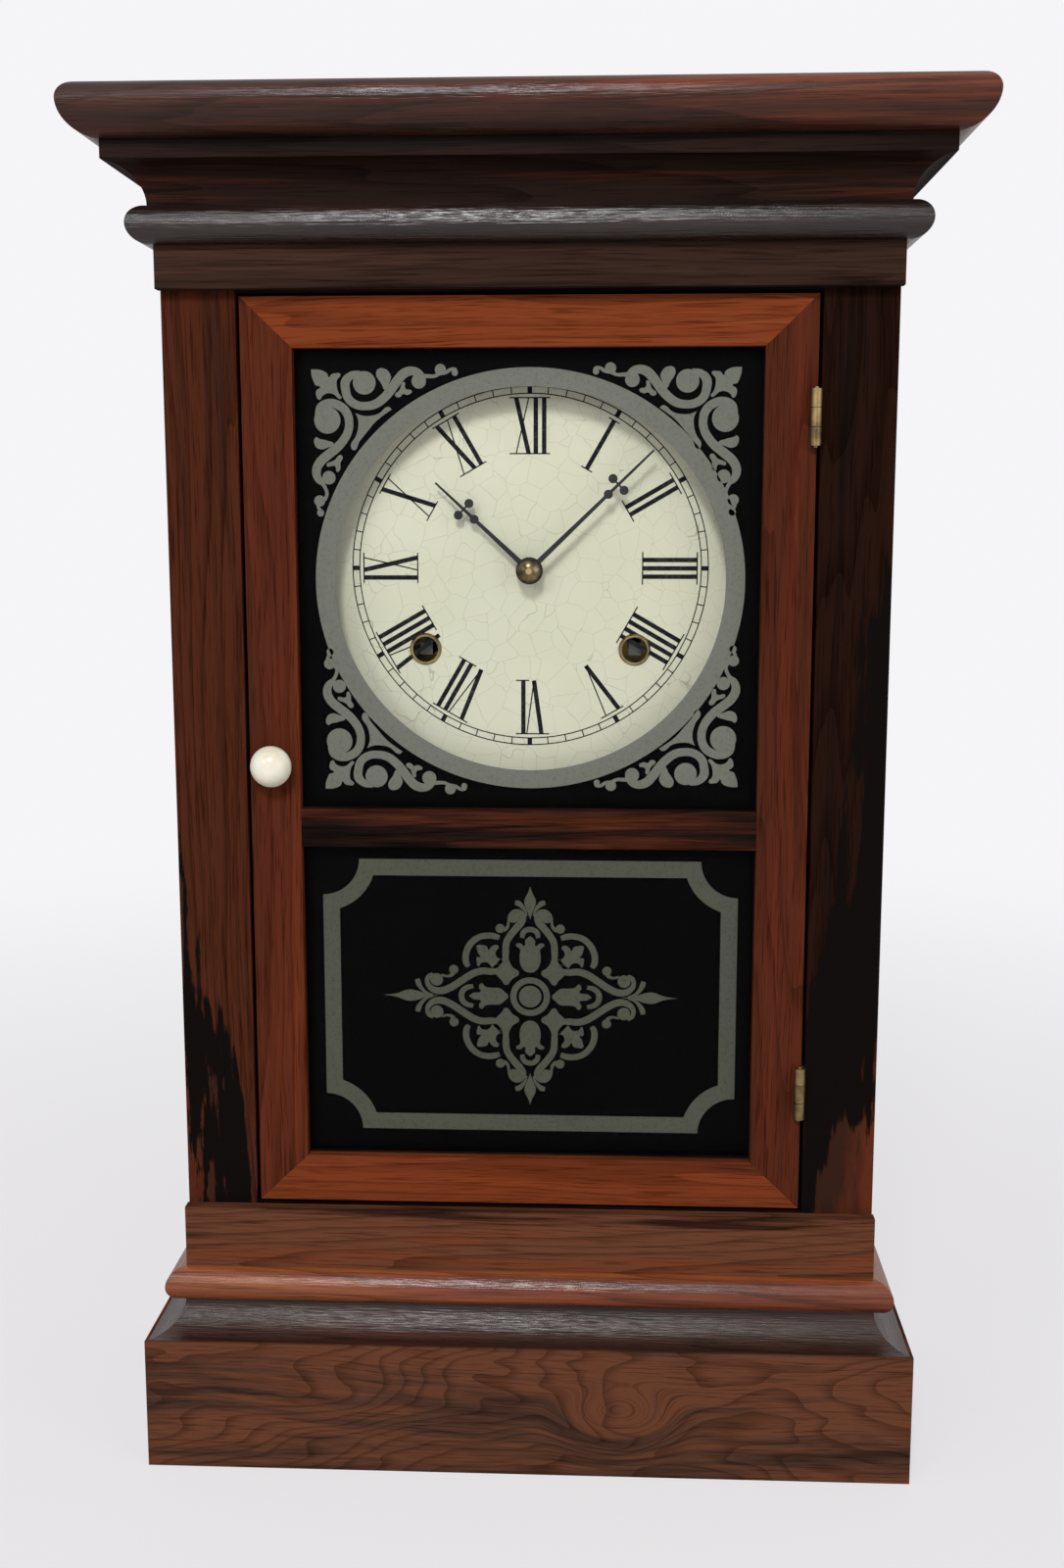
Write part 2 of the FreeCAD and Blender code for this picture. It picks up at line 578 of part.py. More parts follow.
def hinge_parts(name, level):
    half = s.bodyHalf - s.stileWidth - s.doorGap
    opening = s.bodyHalf - s.stileWidth
    axisY = -s.hingeForward
    third = Size(s.hingeLong.value / 3, f"({s.hingeLong.text} / 3)")
    low = level - s.hingeLong.half()
    bore = s.pinRadius + s.pinPlay
    plateStart = axisY + s.knuckleRadius + s.leafPlay
    plate = (plateStart, plateStart + s.leafDeep)
    spans = [(low, low + third - s.knuckleGap), (low + third, low + third.times(2)),
             (low + third.times(2) + s.knuckleGap, low + s.hingeLong)]
    knuckles, hollows, necks = [], [], []
    for n, (a, b) in enumerate(spans):
        knuckles.append(rod(f"{name}_knuckle_{n}", (s.hingeX, axisY, a), s.knuckleRadius, b - a, "Z"))
        hollows.append(rod(f"{name}_bore_{n}", (s.hingeX, axisY, a - s.overrun), bore,
                           b - a + s.overrun.times(2), "Z"))
        neckX = (half - s.leafThick, half) if n == 1 else (opening - s.leafThick, opening)
        neckY = (axisY + (s.knuckleRadius + bore).half(), plate[0]) if n == 1 else (axisY, plate[0])
        necks.append(box(f"{name}_neck_{n}", neckX, neckY, (a, b)))
    rows = (low + s.hingeLong.half() - s.hingeScrewSpread, low + s.hingeLong.half() + s.hingeScrewSpread)
    leaves, screws = [], []
    for side, x, picks in (("door", (half - s.leafThick, half), (1,)),
                           ("case", (opening - s.leafThick, opening), (0, 2))):
        flat = box(f"{name}_{side}_plate", x, plate, (low, low + s.hingeLong))
        leaf = join(f"{name}_{side}_leaf", [flat] + [p for n in picks for p in (knuckles[n], necks[n])])
        tools = [hollows[n] for n in picks]
        for n, z in enumerate(rows):
            screw = leaf_screw(f"{name}_{side}_screw_{n}", x, plate[0] + s.hingeScrewRow, z, side == "door")
            tools.append(screw[1])
            screws.append((side, screw[0]))
        leaves.append((side, cut(f"{name}_{side}_leaf_bored", leaf, tools)))
    pin = rod(f"{name}_pin", (s.hingeX, axisY, low - s.pinCap), s.pinRadius,
              s.hingeLong + s.pinCap.times(2), "Z")
    return leaves, screws, pin


def leaf_screw(name, x, y, z, towardLeft):
    """A flat-head wood screw whose head fills its countersink, and a copy of the head to cut with."""
    shank, head = s.hingeScrewShank, s.hingeScrewHead
    if towardLeft:
        heads = [cone(f"{name}_{n}", (x[0], y, z), shank, head, x[1] - x[0], "X") for n in ("head", "seat")]
        stem = rod(f"{name}_stem", (x[0] - s.hingeScrewLong, y, z), shank, s.hingeScrewLong, "X")
    else:
        heads = [cone(f"{name}_{n}", (x[0], y, z), head, shank, x[1] - x[0], "X") for n in ("head", "seat")]
        stem = rod(f"{name}_stem", (x[1], y, z), shank, s.hingeScrewLong, "X")
    return join(name, [heads[0], stem]), heads[1]


def make_hinges():
    leaves, screws, pins = [], [], []
    for name, level in (("upper", s.hingeUpper), ("lower", s.hingeLower)):
        parts = hinge_parts(name, level)
        leaves += parts[0]
        screws += parts[1]
        pins.append(parts[2])
    for side in ("door", "case"):
        keep(group(f"{side}_leaves", [p for who, p in leaves if who == side]), f"hinge_{side}_leaves")
    keep(group("door_screws", [p for who, p in screws if who == "door"]), "hinge_door_screws")
    keep(group("pins", pins), "hinge_pins")
    return [p for who, p in screws if who == "case"]


# Door knob, with the latch tongue on its shaft


def make_latch():
    knob = new_body("knob")
    face = new_sketch(knob, "XY_Plane")
    rear = s.doorThick + s.tongueGap + s.tongueThick
    ball = s.knobBody - s.knobNeckLong
    outline(face, [(zero, rear), (zero, -(s.knobBody + s.knobDome)), (s.knobRadius, -s.knobBody),
                   (s.knobNeck, -s.knobNeckLong), (s.knobNeck, zero), (s.knobShaft, zero),
                   (s.knobShaft, rear)],
            {1: ((zero, -s.knobBody + s.knobDome), -1),
             2: ((s.knobNeck, -s.knobNeckLong - ball.half()), -1)})
    turn(knob, face)
    put(knob, -s.knobX, s.doorFront, s.knobLevel)
    keep(knob, "door_knob")
    start = s.doorFront + s.doorThick + s.tongueGap
    halfWidth = s.tongueWidth.half()
    bar = box("tongue_bar", (-s.knobX - halfWidth, -s.knobX + halfWidth), (start, start + s.tongueThick),
              (s.knobLevel - halfWidth, s.knobLevel + s.tongueReach))
    eye = rod("tongue_eye", (-s.knobX, start - s.overrun, s.knobLevel), s.knobShaft,
              s.tongueThick + s.overrun.times(2))
    keep(cut("tongue", bar, [eye]), "latch_tongue")


# Dial plate on two rails


def make_dial():
    plate = new_body("dial")
    face = new_sketch(plate, "XZ_Plane", s.dialFront)
    outline(face, rectangle((-s.dialHalf, s.dialHalf), (s.dialBottom, s.dialTop)))
    windLevel = s.arborLevel - s.windDrop
    ring(face, (zero, s.arborLevel), s.dialCentreHole)
    hole = s.grommetHole + s.grommetWall
    for x in (-s.windSide, s.windSide):
        ring(face, (x, windLevel), hole)
    corners = [(x, z) for x in (-s.dialHalf + s.dialScrewInset, s.dialHalf - s.dialScrewInset)
               for z in (s.dialBottom + s.dialScrewInset, s.dialTop - s.dialScrewInset)]
    for corner in corners:
        ring(face, corner, s.dialScrewShank + s.pinPlay)
    pad(plate, face, s.dialThick, reverse=True)
    keep(plate, "dial_plate")
    back = s.dialFront + s.dialThick
    inner = s.bodyHalf - s.sideThick
    rail = box("dial_rail_right", (s.dialHalf - s.dialRailLap, inner), (back, back + s.dialRailThick),
               (s.dialBottom - s.dialRailSpare, s.dialTop + s.dialRailSpare))
    keep(group("dial_rail_pair", [rail, mirrored("dial_rail_left", rail)]), "dial_rails")
    screws = []
    for n, (x, z) in enumerate(corners):
        head = cone(f"dial_screw_head_{n}", (x, s.dialFront - s.dialScrewShank, z), s.dialScrewShank,
                    s.dialScrewHead, s.dialScrewShank)
        stem = rod(f"dial_screw_stem_{n}", (x, s.dialFront, z), s.dialScrewShank, s.dialScrewLong)
        screws.append(join(f"dial_screw_{n}", [head, stem]))
    eyelets = []
    for name, x in (("left", -s.windSide), ("right", s.windSide)):
        eyelet = new_body(f"grommet_{name}")
        section = new_sketch(eyelet, "XY_Plane")
        outer = s.grommetHole + s.grommetWall - s.pinPlay
        outline(section, [(s.grommetHole, -s.grommetProud), (outer, -s.grommetProud),
                          (s.grommetOuter, zero), (outer, zero), (outer, s.dialThick + s.grommetProud),
                          (s.grommetHole, s.dialThick + s.grommetProud)])
        turn(eyelet, section)
        put(eyelet, x, s.dialFront, windLevel)
        eyelets.append(eyelet)
    keep(group("grommets", eyelets), "dial_grommets")
    return screws


# Hands: a tapered blade with a trefoil of balls


def make_hand(name, plane, reach, ball_at, trefoil_at, side, bossRadius, hole, degrees):
    hand = new_body(name)
    blade = new_sketch(hand, "XZ_Plane")
    outline(blade, [(-s.handRoot, zero), (s.handRoot, zero), (s.handTipWidth, reach),
                    (-s.handTipWidth, reach)])
    pad(hand, blade, s.handThick, reverse=True)
    arms = new_sketch(hand, "XZ_Plane")
    outline(arms, rectangle((-side, side), (trefoil_at - s.handTipWidth, trefoil_at + s.handTipWidth)))
    pad(hand, arms, s.handThick, reverse=True)
    for x, z, radius in ((zero, zero, bossRadius), (zero, ball_at, s.handBall),
                         (side, trefoil_at, s.handBall), (-side, trefoil_at, s.handBall)):
        disc = new_sketch(hand, "XZ_Plane")
        ring(disc, (x, z), radius)
        pad(hand, disc, s.handThick, reverse=True)
    eye = new_sketch(hand, "XZ_Plane")
    ring(eye, (zero, zero), hole)
    pocket(hand, eye)
    hand.Placement.Rotation = Rotation(Vector(0, 1, 0), degrees)
    put(hand, zero, plane, s.arborLevel)
    keep(hand, name)


def make_hands():
    make_hand("minute_hand", s.minutePlane, s.minuteReach, s.minuteBallAt, s.minuteTrefoilAt,
              s.trefoilSide, s.handBoss, s.centreArbor + s.pinPlay, minute_angle)
    make_hand("hour_hand", s.hourPlane, s.hourReach, s.hourBallAt, s.hourTrefoilAt, s.trefoilSide,
              s.hourBoss, s.centreArbor + s.pipePlay + s.pipeWall, hour_angle)
    nut = new_body("nut")
    section = new_sketch(nut, "XY_Plane")
    hole = s.centreArbor + s.pinPlay
    outline(section, [(hole, -s.handNutHigh), (s.handNutRadius, -s.handNutRim), (s.handNutRadius, zero),
                      (hole, zero)], {0: ((zero, s.handNutHigh), -1)})
    turn(nut, section)
    slot = new_sketch(nut, "XZ_Plane", -s.handNutHigh)
    wide, slotHalf = s.handNutRadius + s.overrun, s.handNutSlot.half()
    outline(slot, rectangle((-wide, wide), (-slotHalf, slotHalf)))
    pocket(nut, slot, through=s.handNutSlotDeep)
    nut.Placement.Rotation = Rotation(Vector(0, 1, 0), nut_angle)
    put(nut, zero, s.minutePlane, s.arborLevel)
    keep(nut, "hand_nut")


# Movement: where its arbors stand


def met(a, b, fromA, fromB, side):
    """The place at two given distances from two others, on the left (+1) or right of the way along."""
    dx, dz = b[0] - a[0], b[1] - a[1]
    span = (dx * dx + dz * dz).root()
    along = (span * span + fromA * fromA - fromB * fromB) / span.times(2)
    off = (fromA * fromA - along * along).root().times(side)
    return a[0] + (dx * along - dz * off) / span, a[1] + (dz * along + dx * off) / span


def hang_from_edges():
    """Levels of the head and cornice below the case's top, the door's fittings in from its edge."""
    drops = {"friezeBottom": s.friezeDrop, "headBottom": s.headDrop, "topShelfBottom": s.topShelfDrop,
             "topBeadLow": s.topBeadLowDrop, "topBeadHigh": s.topBeadHighDrop,
             "filletLow": s.filletDrop, "capLow": s.capDrop, "doorTop": s.doorTopDrop}
    for name, drop in drops.items():
        setattr(s, name, derive(name, s.caseTop - drop))
    doorHalf = s.bodyHalf - s.stileWidth - s.doorGap
    s.hingeX = derive("hingeX", doorHalf - s.hingeInset)
    s.knobX = derive("knobX", doorHalf - s.knobInset)
    rear = s.caseDepth - s.backThick
    s.gongPlane = derive("gongPlane", rear - s.gongStand)
    s.gongBaseFront = derive("gongBaseFront", rear - s.gongBaseLong)
    s.gongLugFront = derive("gongLugFront", rear - s.gongLugLong)


def find_places():
    reaches = (("greatReach", s.greatModule, great_teeth + second_leaves),
               ("secondReach", s.secondModule, second_teeth + centre_leaves),
               ("centreReach", s.centreModule, centre_teeth + third_leaves),
               ("thirdReach", s.thirdModule, third_teeth + escape_leaves),
               ("motionReach", s.motionModule, cannon_leaves + minute_teeth))
    for name, module, count in reaches:
        setattr(s, name, derive(name, module.times(count).half()))
    s.hourModule = derive("hourModule", s.motionReach.times(2) / Size(minute_leaves + hour_teeth,
                                                                       str(minute_leaves + hour_teeth)))
    windLevel = s.arborLevel - s.windDrop
    centre, wind = (zero, s.arborLevel), (s.windSide, windLevel)
    escape = (zero, s.arborLevel + s.escapeRise)
    second = met(wind, centre, s.greatReach, s.secondReach, -1)
    third = met(centre, escape, s.centreReach, s.thirdReach, -1)
    angle = math.radians(stud_angle)
    stud = (s.motionReach.times(math.cos(angle)), s.arborLevel + s.motionReach.times(math.sin(angle)))
    found = {"centre": centre, "windTime": wind, "windStrike": (-s.windSide, windLevel),
             "secondTime": second, "secondStrike": (-s.windSide, windLevel + s.greatReach),
             "third": third, "escape": escape, "verge": (zero, s.arborLevel + s.vergeRise),
             "hammer": (-s.hammerSide, s.arborLevel - s.hammerDrop), "stud": stud}
    for name, (x, z) in found.items():
        spot = derive(name + "X", x), derive(name + "Z", z)
        found[name] = spot
    return SimpleNamespace(**found)


# Movement: toothed wheels


def spot(place, y, radius=0.0, angle=0.0):
    x, z = place[0].value + radius * math.cos(angle), place[1].value + radius * math.sin(angle)
    return Vector(x, y.value, z)


def drawn(name, shape):
    item = doc.addObject("Part::Feature", name)
    item.Shape = shape
    return item


def tooth_points(place, y, teeth, module, shares, phase):
    """A straight-flanked outline with a tooth centred on the phase angle."""
    rootHalf, pitchHalf, tipHalf, rise, depth = shares
    pitchRadius = module.value * teeth / 2
    low, high = pitchRadius - depth * module.value, pitchRadius + rise * module.value
    profile = [(-rootHalf, low), (-pitchHalf, pitchRadius), (-tipHalf, high),
               (tipHalf, high), (pitchHalf, pitchRadius), (rootHalf, low)]
    step = 2 * math.pi / teeth
    return [spot(place, y, radius, phase + (k + share) * step)
            for k in range(teeth) for share, radius in profile]


def windows(place, y, inner, outer):
    """The holes between the spokes."""
    wires = []
    sector = math.pi / spokes
    for k in range(spokes):
        middle = (2 * k + 1) * sector
        a, b = [sector - math.asin(s.spokeHalf.value / radius) for radius in (inner, outer)]
        corners = [spot(place, y, radius, middle + turned) for radius, turned in (
            (inner, -a), (outer, -b), (outer, 0.0), (outer, b), (inner, a), (inner, 0.0))]
        edges = [Part.LineSegment(corners[0], corners[1]), Part.Arc(*corners[1:4]),
                 Part.LineSegment(corners[3], corners[4]), Part.Arc(corners[4], corners[5], corners[0])]
        wires.append(Part.Wire([edge.toShape() for edge in edges]))
    return wires


def disc(name, place, y, thick, points, holes=(), bore=None):
    wires = [Part.makePolygon(points + points[:1])] + list(holes)
    if bore:
        wires.append(Part.Wire(Part.Circle(spot(place, y), Vector(0, 1, 0), bore.value).toShape()))
    face = Part.makeFace(wires, "Part::FaceMakerBullseye")
    return drawn(name, face.extrude(Vector(0, thick.value, 0)))


def heading(a, b):
    return math.atan2(b[1].value - a[1].value, b[0].value - a[0].value)


def wheel(name, place, mate, y, thick, teeth, module, hub=None, bore=None):
    """A wheel that drives its mate: one tooth points at it."""
    points = tooth_points(place, y, teeth, module, wheel_shares, heading(place, mate))
    holes = ()
    if hub:
        rim = module.value * (teeth / 2 - wheel_shares[4]) - s.rimWidth.value
        holes = windows(place, y, hub.value, rim)
    return disc(name, place, y, thick, points, holes, bore)


def pinion(name, place, driver, y, thick, leaves, module, bore=None, shares=leaf_shares):
    """A pinion or a driven wheel: a gap faces its driver."""
    phase = heading(place, driver) + math.pi / leaves
    return disc(name, place, y, thick, tooth_points(place, y, leaves, module, shares, phase), (), bore)


def arbor(name, place, gap=None):
    """Pivots, and an arbor between the plates that leaves out the stretch of a small pinion."""
    front, back = s.plateFront + s.plateThick, s.plateFront + s.plateThick + s.plateBay
    a, b = front + s.endPlay, back - s.endPlay
    x, z = place
    pieces = [rod(name + "_front_pivot", (x, s.plateFront, z), s.pivotRadius, a - s.plateFront),
              rod(name + "_back_pivot", (x, b, z), s.pivotRadius, back + s.plateThick - b)]
    for n, (low, high) in enumerate([(a, b)] if gap is None else [(a, gap[0]), (gap[1], b)]):
        pieces.append(rod(f"{name}_arbor_{n}", (x, low, z), s.arborRadius, high - low))
    return pieces


def make_trains(at):
    spare, thick = s.pinionSpare, s.wheelThick
    for side, wind, second, mate in (("time", at.windTime, at.secondTime, at.centre),
                                     ("strike", at.windStrike, at.secondStrike, at.centre)):
        great = wheel(side + "_great", wind, second, s.greatPlane, s.greatThick, great_teeth,
                      s.greatModule, s.greatHub, s.windArbor + s.pivotPlay)
        clickTop = wind[1] - s.ratchetRadius - s.clickGap
        click = box(side + "_click", (wind[0] - s.clickHalf, wind[0] + s.clickHalf),
                    (s.greatPlane + s.greatThick, s.greatPlane + s.greatThick + s.endPlay + s.ratchetThick),
                    (clickTop - s.clickHigh, clickTop))
        keep(group(side + "_great_set", [great, click]), side + "_great_wheel")
        keep(winding_arbor(side, wind), side + "_winding_arbor")
        pieces = arbor(side + "_second", second)
        pieces.append(wheel(side + "_second_wheel_disc", second, mate, s.secondPlane, thick, second_teeth,
                            s.secondModule, s.secondHub))
        pieces.append(pinion(side + "_second_leaves", second, wind, s.greatPlane - spare,
                             s.greatThick + spare.times(2), second_leaves, s.greatModule))
        keep(join(side + "_second_set", pieces), side + "_second_wheel")
    tall = thick + spare.times(2)
    third = (s.centrePlane - spare, s.centrePlane + thick + spare)
    pieces = arbor("third", at.third, third)
    pieces.append(wheel("third_disc", at.third, at.escape, s.thirdPlane, thick, third_teeth,
                        s.thirdModule, s.thirdHub))
    pieces.append(pinion("third_leaves", at.third, at.centre, third[0], tall, third_leaves, s.centreModule))
    keep(join("third_set", pieces), "third_wheel")
    small = (s.thirdPlane - spare, s.thirdPlane + thick + spare)
    pieces = arbor("escape", at.escape, small)
    pieces.append(escape_disc(at.escape))
    pieces.append(pinion("escape_leaves", at.escape, at.third, small[0], tall, escape_leaves, s.thirdModule))
    keep(join("escape_set", pieces), "escape_wheel")


def winding_arbor(side, place):
    x, z = place
    inner, outer = s.plateFront + s.plateThick, s.plateFront + s.plateThick + s.plateBay
    a, b = inner + s.endPlay, outer - s.endPlay
    neck = s.plateFront - s.endPlay
    radius, step = s.ratchetRadius.value, 2 * math.pi / ratchet_teeth
    y = s.greatPlane + s.greatThick + s.endPlay
    points = [spot(place, y, r, k * step) for k in range(ratchet_teeth)
              for r in (radius, radius - s.ratchetDeep.value)]
    half = s.windSquare.half()
    return join(side + "_winding", [
        rod(side + "_barrel", (x, a, z), s.windArbor, b - a),
        rod(side + "_front_journal", (x, neck, z), s.windPivot, a - neck),
        rod(side + "_back_journal", (x, b, z), s.windPivot, outer + s.plateThick - b),
        box(side + "_square", (x - half, x + half), (s.squareFront, neck), (z - half, z + half)),
        disc(side + "_ratchet", place, y, s.ratchetThick, points)])


def escape_disc(place):
    step = 2 * math.pi / escape_teeth
    high, low = s.escapeRadius.value, (s.escapeRadius - s.escapeDeep).value
    points = [spot(place, s.escapePlane, radius, (k + share) * step) for k in range(escape_teeth)
              for share, radius in ((0.0, low), (escape_tip_share, high), (escape_back_share, low))]
    holes = windows(place, s.escapePlane, s.escapeHub.value, low - s.rimWidth.value)
    return disc("escape_disc", place, s.escapePlane, s.wheelThick, points, holes)


def make_motion_work(at):
    """The centre arbor with its wheel and pinions, the minute wheel on its stud and the hour wheel."""
    thick, spare = s.wheelThick, s.pinionSpare
    x, z = at.centre
    inner, outer = s.plateFront + s.plateThick, s.plateFront + s.plateThick + s.plateBay
    a, b = inner + s.endPlay, outer - s.endPlay
    handBack = s.minutePlane + s.handThick
    pieces = [rod("centre_long", (x, s.centreFront, z), s.centreArbor, a - s.centreFront),
              rod("centre_thick", (x, a, z), s.arborRadius, b - a),
              rod("centre_back_pivot", (x, b, z), s.pivotRadius, outer + s.plateThick - b),
              rod("hand_collar", (x, handBack, z), s.collarRadius, s.hourPlane - s.collarGap - handBack)]
    pieces.append(wheel("centre_disc", at.centre, at.third, s.centrePlane, thick, centre_teeth,
                        s.centreModule, s.centreHub))
    pieces.append(pinion("centre_leaves", at.centre, at.secondTime, s.secondPlane - spare,
                         thick + spare.times(2), centre_leaves, s.secondModule))
    cannonFront = s.minuteWheelPlane - s.motionSpare
    phase = heading(at.centre, at.stud)
    points = tooth_points(at.centre, cannonFront, cannon_leaves, s.motionModule, leaf_shares, phase)
    pieces.append(disc("cannon", at.centre, cannonFront, thick + s.motionSpare.times(2), points))
    keep(join("centre_set", pieces), "centre_wheel")
    bore = s.minuteStud + s.pivotPlay
    stud = at.stud
    driven = pinion("minute_disc", stud, at.centre, s.minuteWheelPlane, thick, minute_teeth,
                    s.motionModule, bore, wheel_shares)
    front = s.hourWheelPlane - spare
    points = tooth_points(stud, front, minute_leaves, s.hourModule, leaf_shares, heading(stud, at.centre))
    leaves = disc("minute_leaves", stud, front, s.minuteWheelPlane - front, points, (), bore)
    keep(join("minute_set", [driven, leaves]), "minute_wheel")
    hole = s.centreArbor + s.pipePlay
    rim = pinion("hour_disc", at.centre, stud, s.hourWheelPlane, thick, hour_teeth, s.hourModule,
                 hole, wheel_shares)
    pipe = cut("hour_pipe", rod("hour_tube", (x, s.hourPlane, z), hole + s.pipeWall,
                                s.hourWheelPlane + thick - s.hourPlane),
               [rod("hour_bore", (x, s.hourPlane - s.overrun, z), hole,
                    s.hourWheelPlane + thick + s.overrun.times(2) - s.hourPlane)])
    keep(join("hour_set", [rim, pipe]), "hour_wheel")


# Movement: plates, pillars and feet


def make_plates(at):
    pivot, winding = s.pivotRadius + s.pivotPlay, s.windPivot + s.pivotPlay
    x, low, high = s.plateHalf - s.pillarInset, s.plateLow - s.pillarInset, s.plateHigh - s.pillarInset
    corners = [(x, s.arborLevel - low), (x, s.arborLevel + high)]
    fours = corners + [(-a, b) for a, b in corners]
    back = s.plateFront + s.plateThick + s.plateBay
    plates = {}
    for side, level in (("front", s.plateFront), ("back", back)):
        plate = new_body(side + "_plate_body")
        face = new_sketch(plate, "XZ_Plane", level)
        outline(face, rectangle((-s.plateHalf, s.plateHalf),
                                (s.arborLevel - s.plateLow, s.arborLevel + s.plateHigh)))
        upper = (s.arborLevel + s.windowFoot, s.arborLevel + s.windowHead)
        outline(face, rectangle((s.windowNear, s.windowFar), upper))
        outline(face, rectangle((-s.windowFar, -s.windowNear), upper))
        outline(face, rectangle((-s.lowWindowHalf, s.lowWindowHalf),
                                (s.arborLevel - s.lowWindowFoot, s.arborLevel - s.lowWindowHead)))
        for place in (at.secondTime, at.secondStrike, at.third, at.escape, at.verge, at.hammer):
            ring(face, place, pivot)
        for place in (at.windTime, at.windStrike):
            ring(face, place, winding)
        for place in fours:
            ring(face, place, s.pillarStud + s.pivotPlay)
        ring(face, at.centre, s.centreArbor + s.pivotPlay if side == "front" else pivot)
        pad(plate, face, s.plateThick, reverse=True)
        plates[side] = plate
    post = rod("stud_post", (at.stud[0], s.studFront, at.stud[1]), s.minuteStud, s.plateFront - s.studFront)
    keep(join("front_plate_set", [plates["front"], post]), "front_plate")
    keep(plates["back"], "back_plate")
    pillars, feet = [], []
    start = s.plateFront - s.plateNutHigh
    for n, (x, z) in enumerate(corners):
        nut = doc.addObject("Part::Prism", f"plate_nut_{n}")
        nut.Polygon = 6
        nut.Placement.Rotation = turned["Y"]
        bind(nut, "Circumradius", s.plateNutRadius)
        bind(nut, "Height", s.plateNutHigh)
        put(nut, x, start, z)
        pillar = join(f"pillar_{n}", [
            nut, rod(f"pillar_body_{n}", (x, s.plateFront + s.plateThick, z), s.pillarRadius, s.plateBay),
            rod(f"pillar_stud_{n}", (x, start - s.studProud, z), s.pillarStud,
                back + s.plateThick + s.studProud - start)])
        pillars += [pillar, mirrored(f"pillar_mirror_{n}", pillar)]
        foot = rod(f"foot_{n}", (x, back + s.plateThick, z), s.footRadius,
                   s.caseDepth - s.backThick - back - s.plateThick)
        feet += [foot, mirrored(f"foot_mirror_{n}", foot)]
    keep(group("pillars", pillars), "plate_pillars")
    keep(group("feet", feet), "movement_feet")
    return corners[0]


# Mainsprings: a strip on edge, wound in half turns, its outer end hooked round a pillar


def half_turns(place, y, first, pitch, count, sense):
    """Arcs (centre, radius, first angle, last angle) from the right; sense +1 runs anticlockwise."""
    turns = []
    for k in range(count):
        shift = pitch / 2 if k % 2 else 0.0
        centre = spot(place, y) + Vector(shift, 0, 0)
        start = math.pi if k % 2 else 0.0
        turns.append((centre, first + k * pitch / 2, start, start + sense * math.pi))
    return turns


def on_arc(centre, radius, angle):
    return centre + Vector(radius * math.cos(angle), 0, radius * math.sin(angle))


def strip_wire(turns, half):
    sides = []
    for sign in (1, -1):
        edges, ends = [], []
        for centre, radius, a, b in turns:
            rim = radius + sign * half * (1 if b < a else -1)
            points = [on_arc(centre, rim, angle) for angle in (a, (a + b) / 2, b)]
            if ends and (points[0] - ends[-1]).Length > half:
                edges.append(Part.LineSegment(ends[-1], points[0]))
            edges.append(Part.Arc(*points))
            ends += [points[0], points[2]]
        sides.append((edges, ends[0], ends[-1]))
    caps = [Part.LineSegment(sides[0][n], sides[1][n]) for n in (1, 2)]
    edges = [edge.toShape() for edge in sides[0][0] + sides[1][0] + caps]
    return Part.Wire(Part.__sortEdges__(edges))


def make_springs(at, corner):
    half = s.springStrip.value / 2
    inner = s.windArbor.value + s.springClear.value + half
    hook = s.pillarRadius.value + s.hookClear.value + half
    pitch = (corner[0].value - hook - s.windSide.value - inner) / (spring_half_turns / 2)
    turns = half_turns(at.windTime, s.springFront, inner, pitch, spring_half_turns, -1)
    turns.append((spot(corner, s.springFront), hook, math.pi, 2 * math.pi))
    face = Part.Face(strip_wire(turns, half))
    right = drawn("time_spring", face.extrude(Vector(0, s.springWide.value, 0)))
    keep(group("springs", [right, mirrored("strike_spring", right)]), "mainsprings")


# Verge, pendulum and suspension


def make_verge(at):
    x, z = at.verge
    pallets = new_body("pallets")
    plane = s.escapePlane + (s.wheelThick - s.palletWidth).half()
    face = new_sketch(pallets, "XZ_Plane", plane)
    side, shoulder, crown, thick = s.palletSide, s.palletShoulder, s.palletCrown, s.palletThick
    right = [(s.palletNeck, z - crown), (side, z - shoulder), (side, z - s.palletTip),
             (side - thick, z - s.palletTip), (side - thick, z - shoulder - thick),
             (s.palletNeck, z - crown - thick)]
    outline(face, right + [(-a, b) for a, b in reversed(right)])
    pad(pallets, face, s.palletWidth, reverse=True)
    back = s.plateFront + s.plateThick + s.plateBay - s.endPlay
    web = box("verge_web", (-s.webHalf, s.webHalf), (plane, plane + s.palletWidth),
              (z - crown - thick.half(), z))
    foot = z - s.crutchReach
    pieces = arbor("verge", at.verge) + [
        pallets, web, rod("verge_tail", (x, back, z), s.pivotRadius, s.vergeEnd - back),
        rod("crutch_wire", (x, s.crutchPlane, foot), s.crutchWire, s.crutchReach, "Z")]
    reach = s.rodRadius + s.forkGap + s.forkWire
    bar, end = s.forkBar, reach + s.forkWire
    pieces.append(box("fork_bar", (-end, end), (s.crutchPlane - bar, s.crutchPlane + bar),
                      (foot - bar, foot + bar)))
    for side, place in (("right", reach), ("left", -reach)):
        pieces.append(rod(f"fork_{side}", (place, s.crutchPlane, foot), s.forkWire, s.forkLong))
    keep(join("verge_set", pieces), "verge")


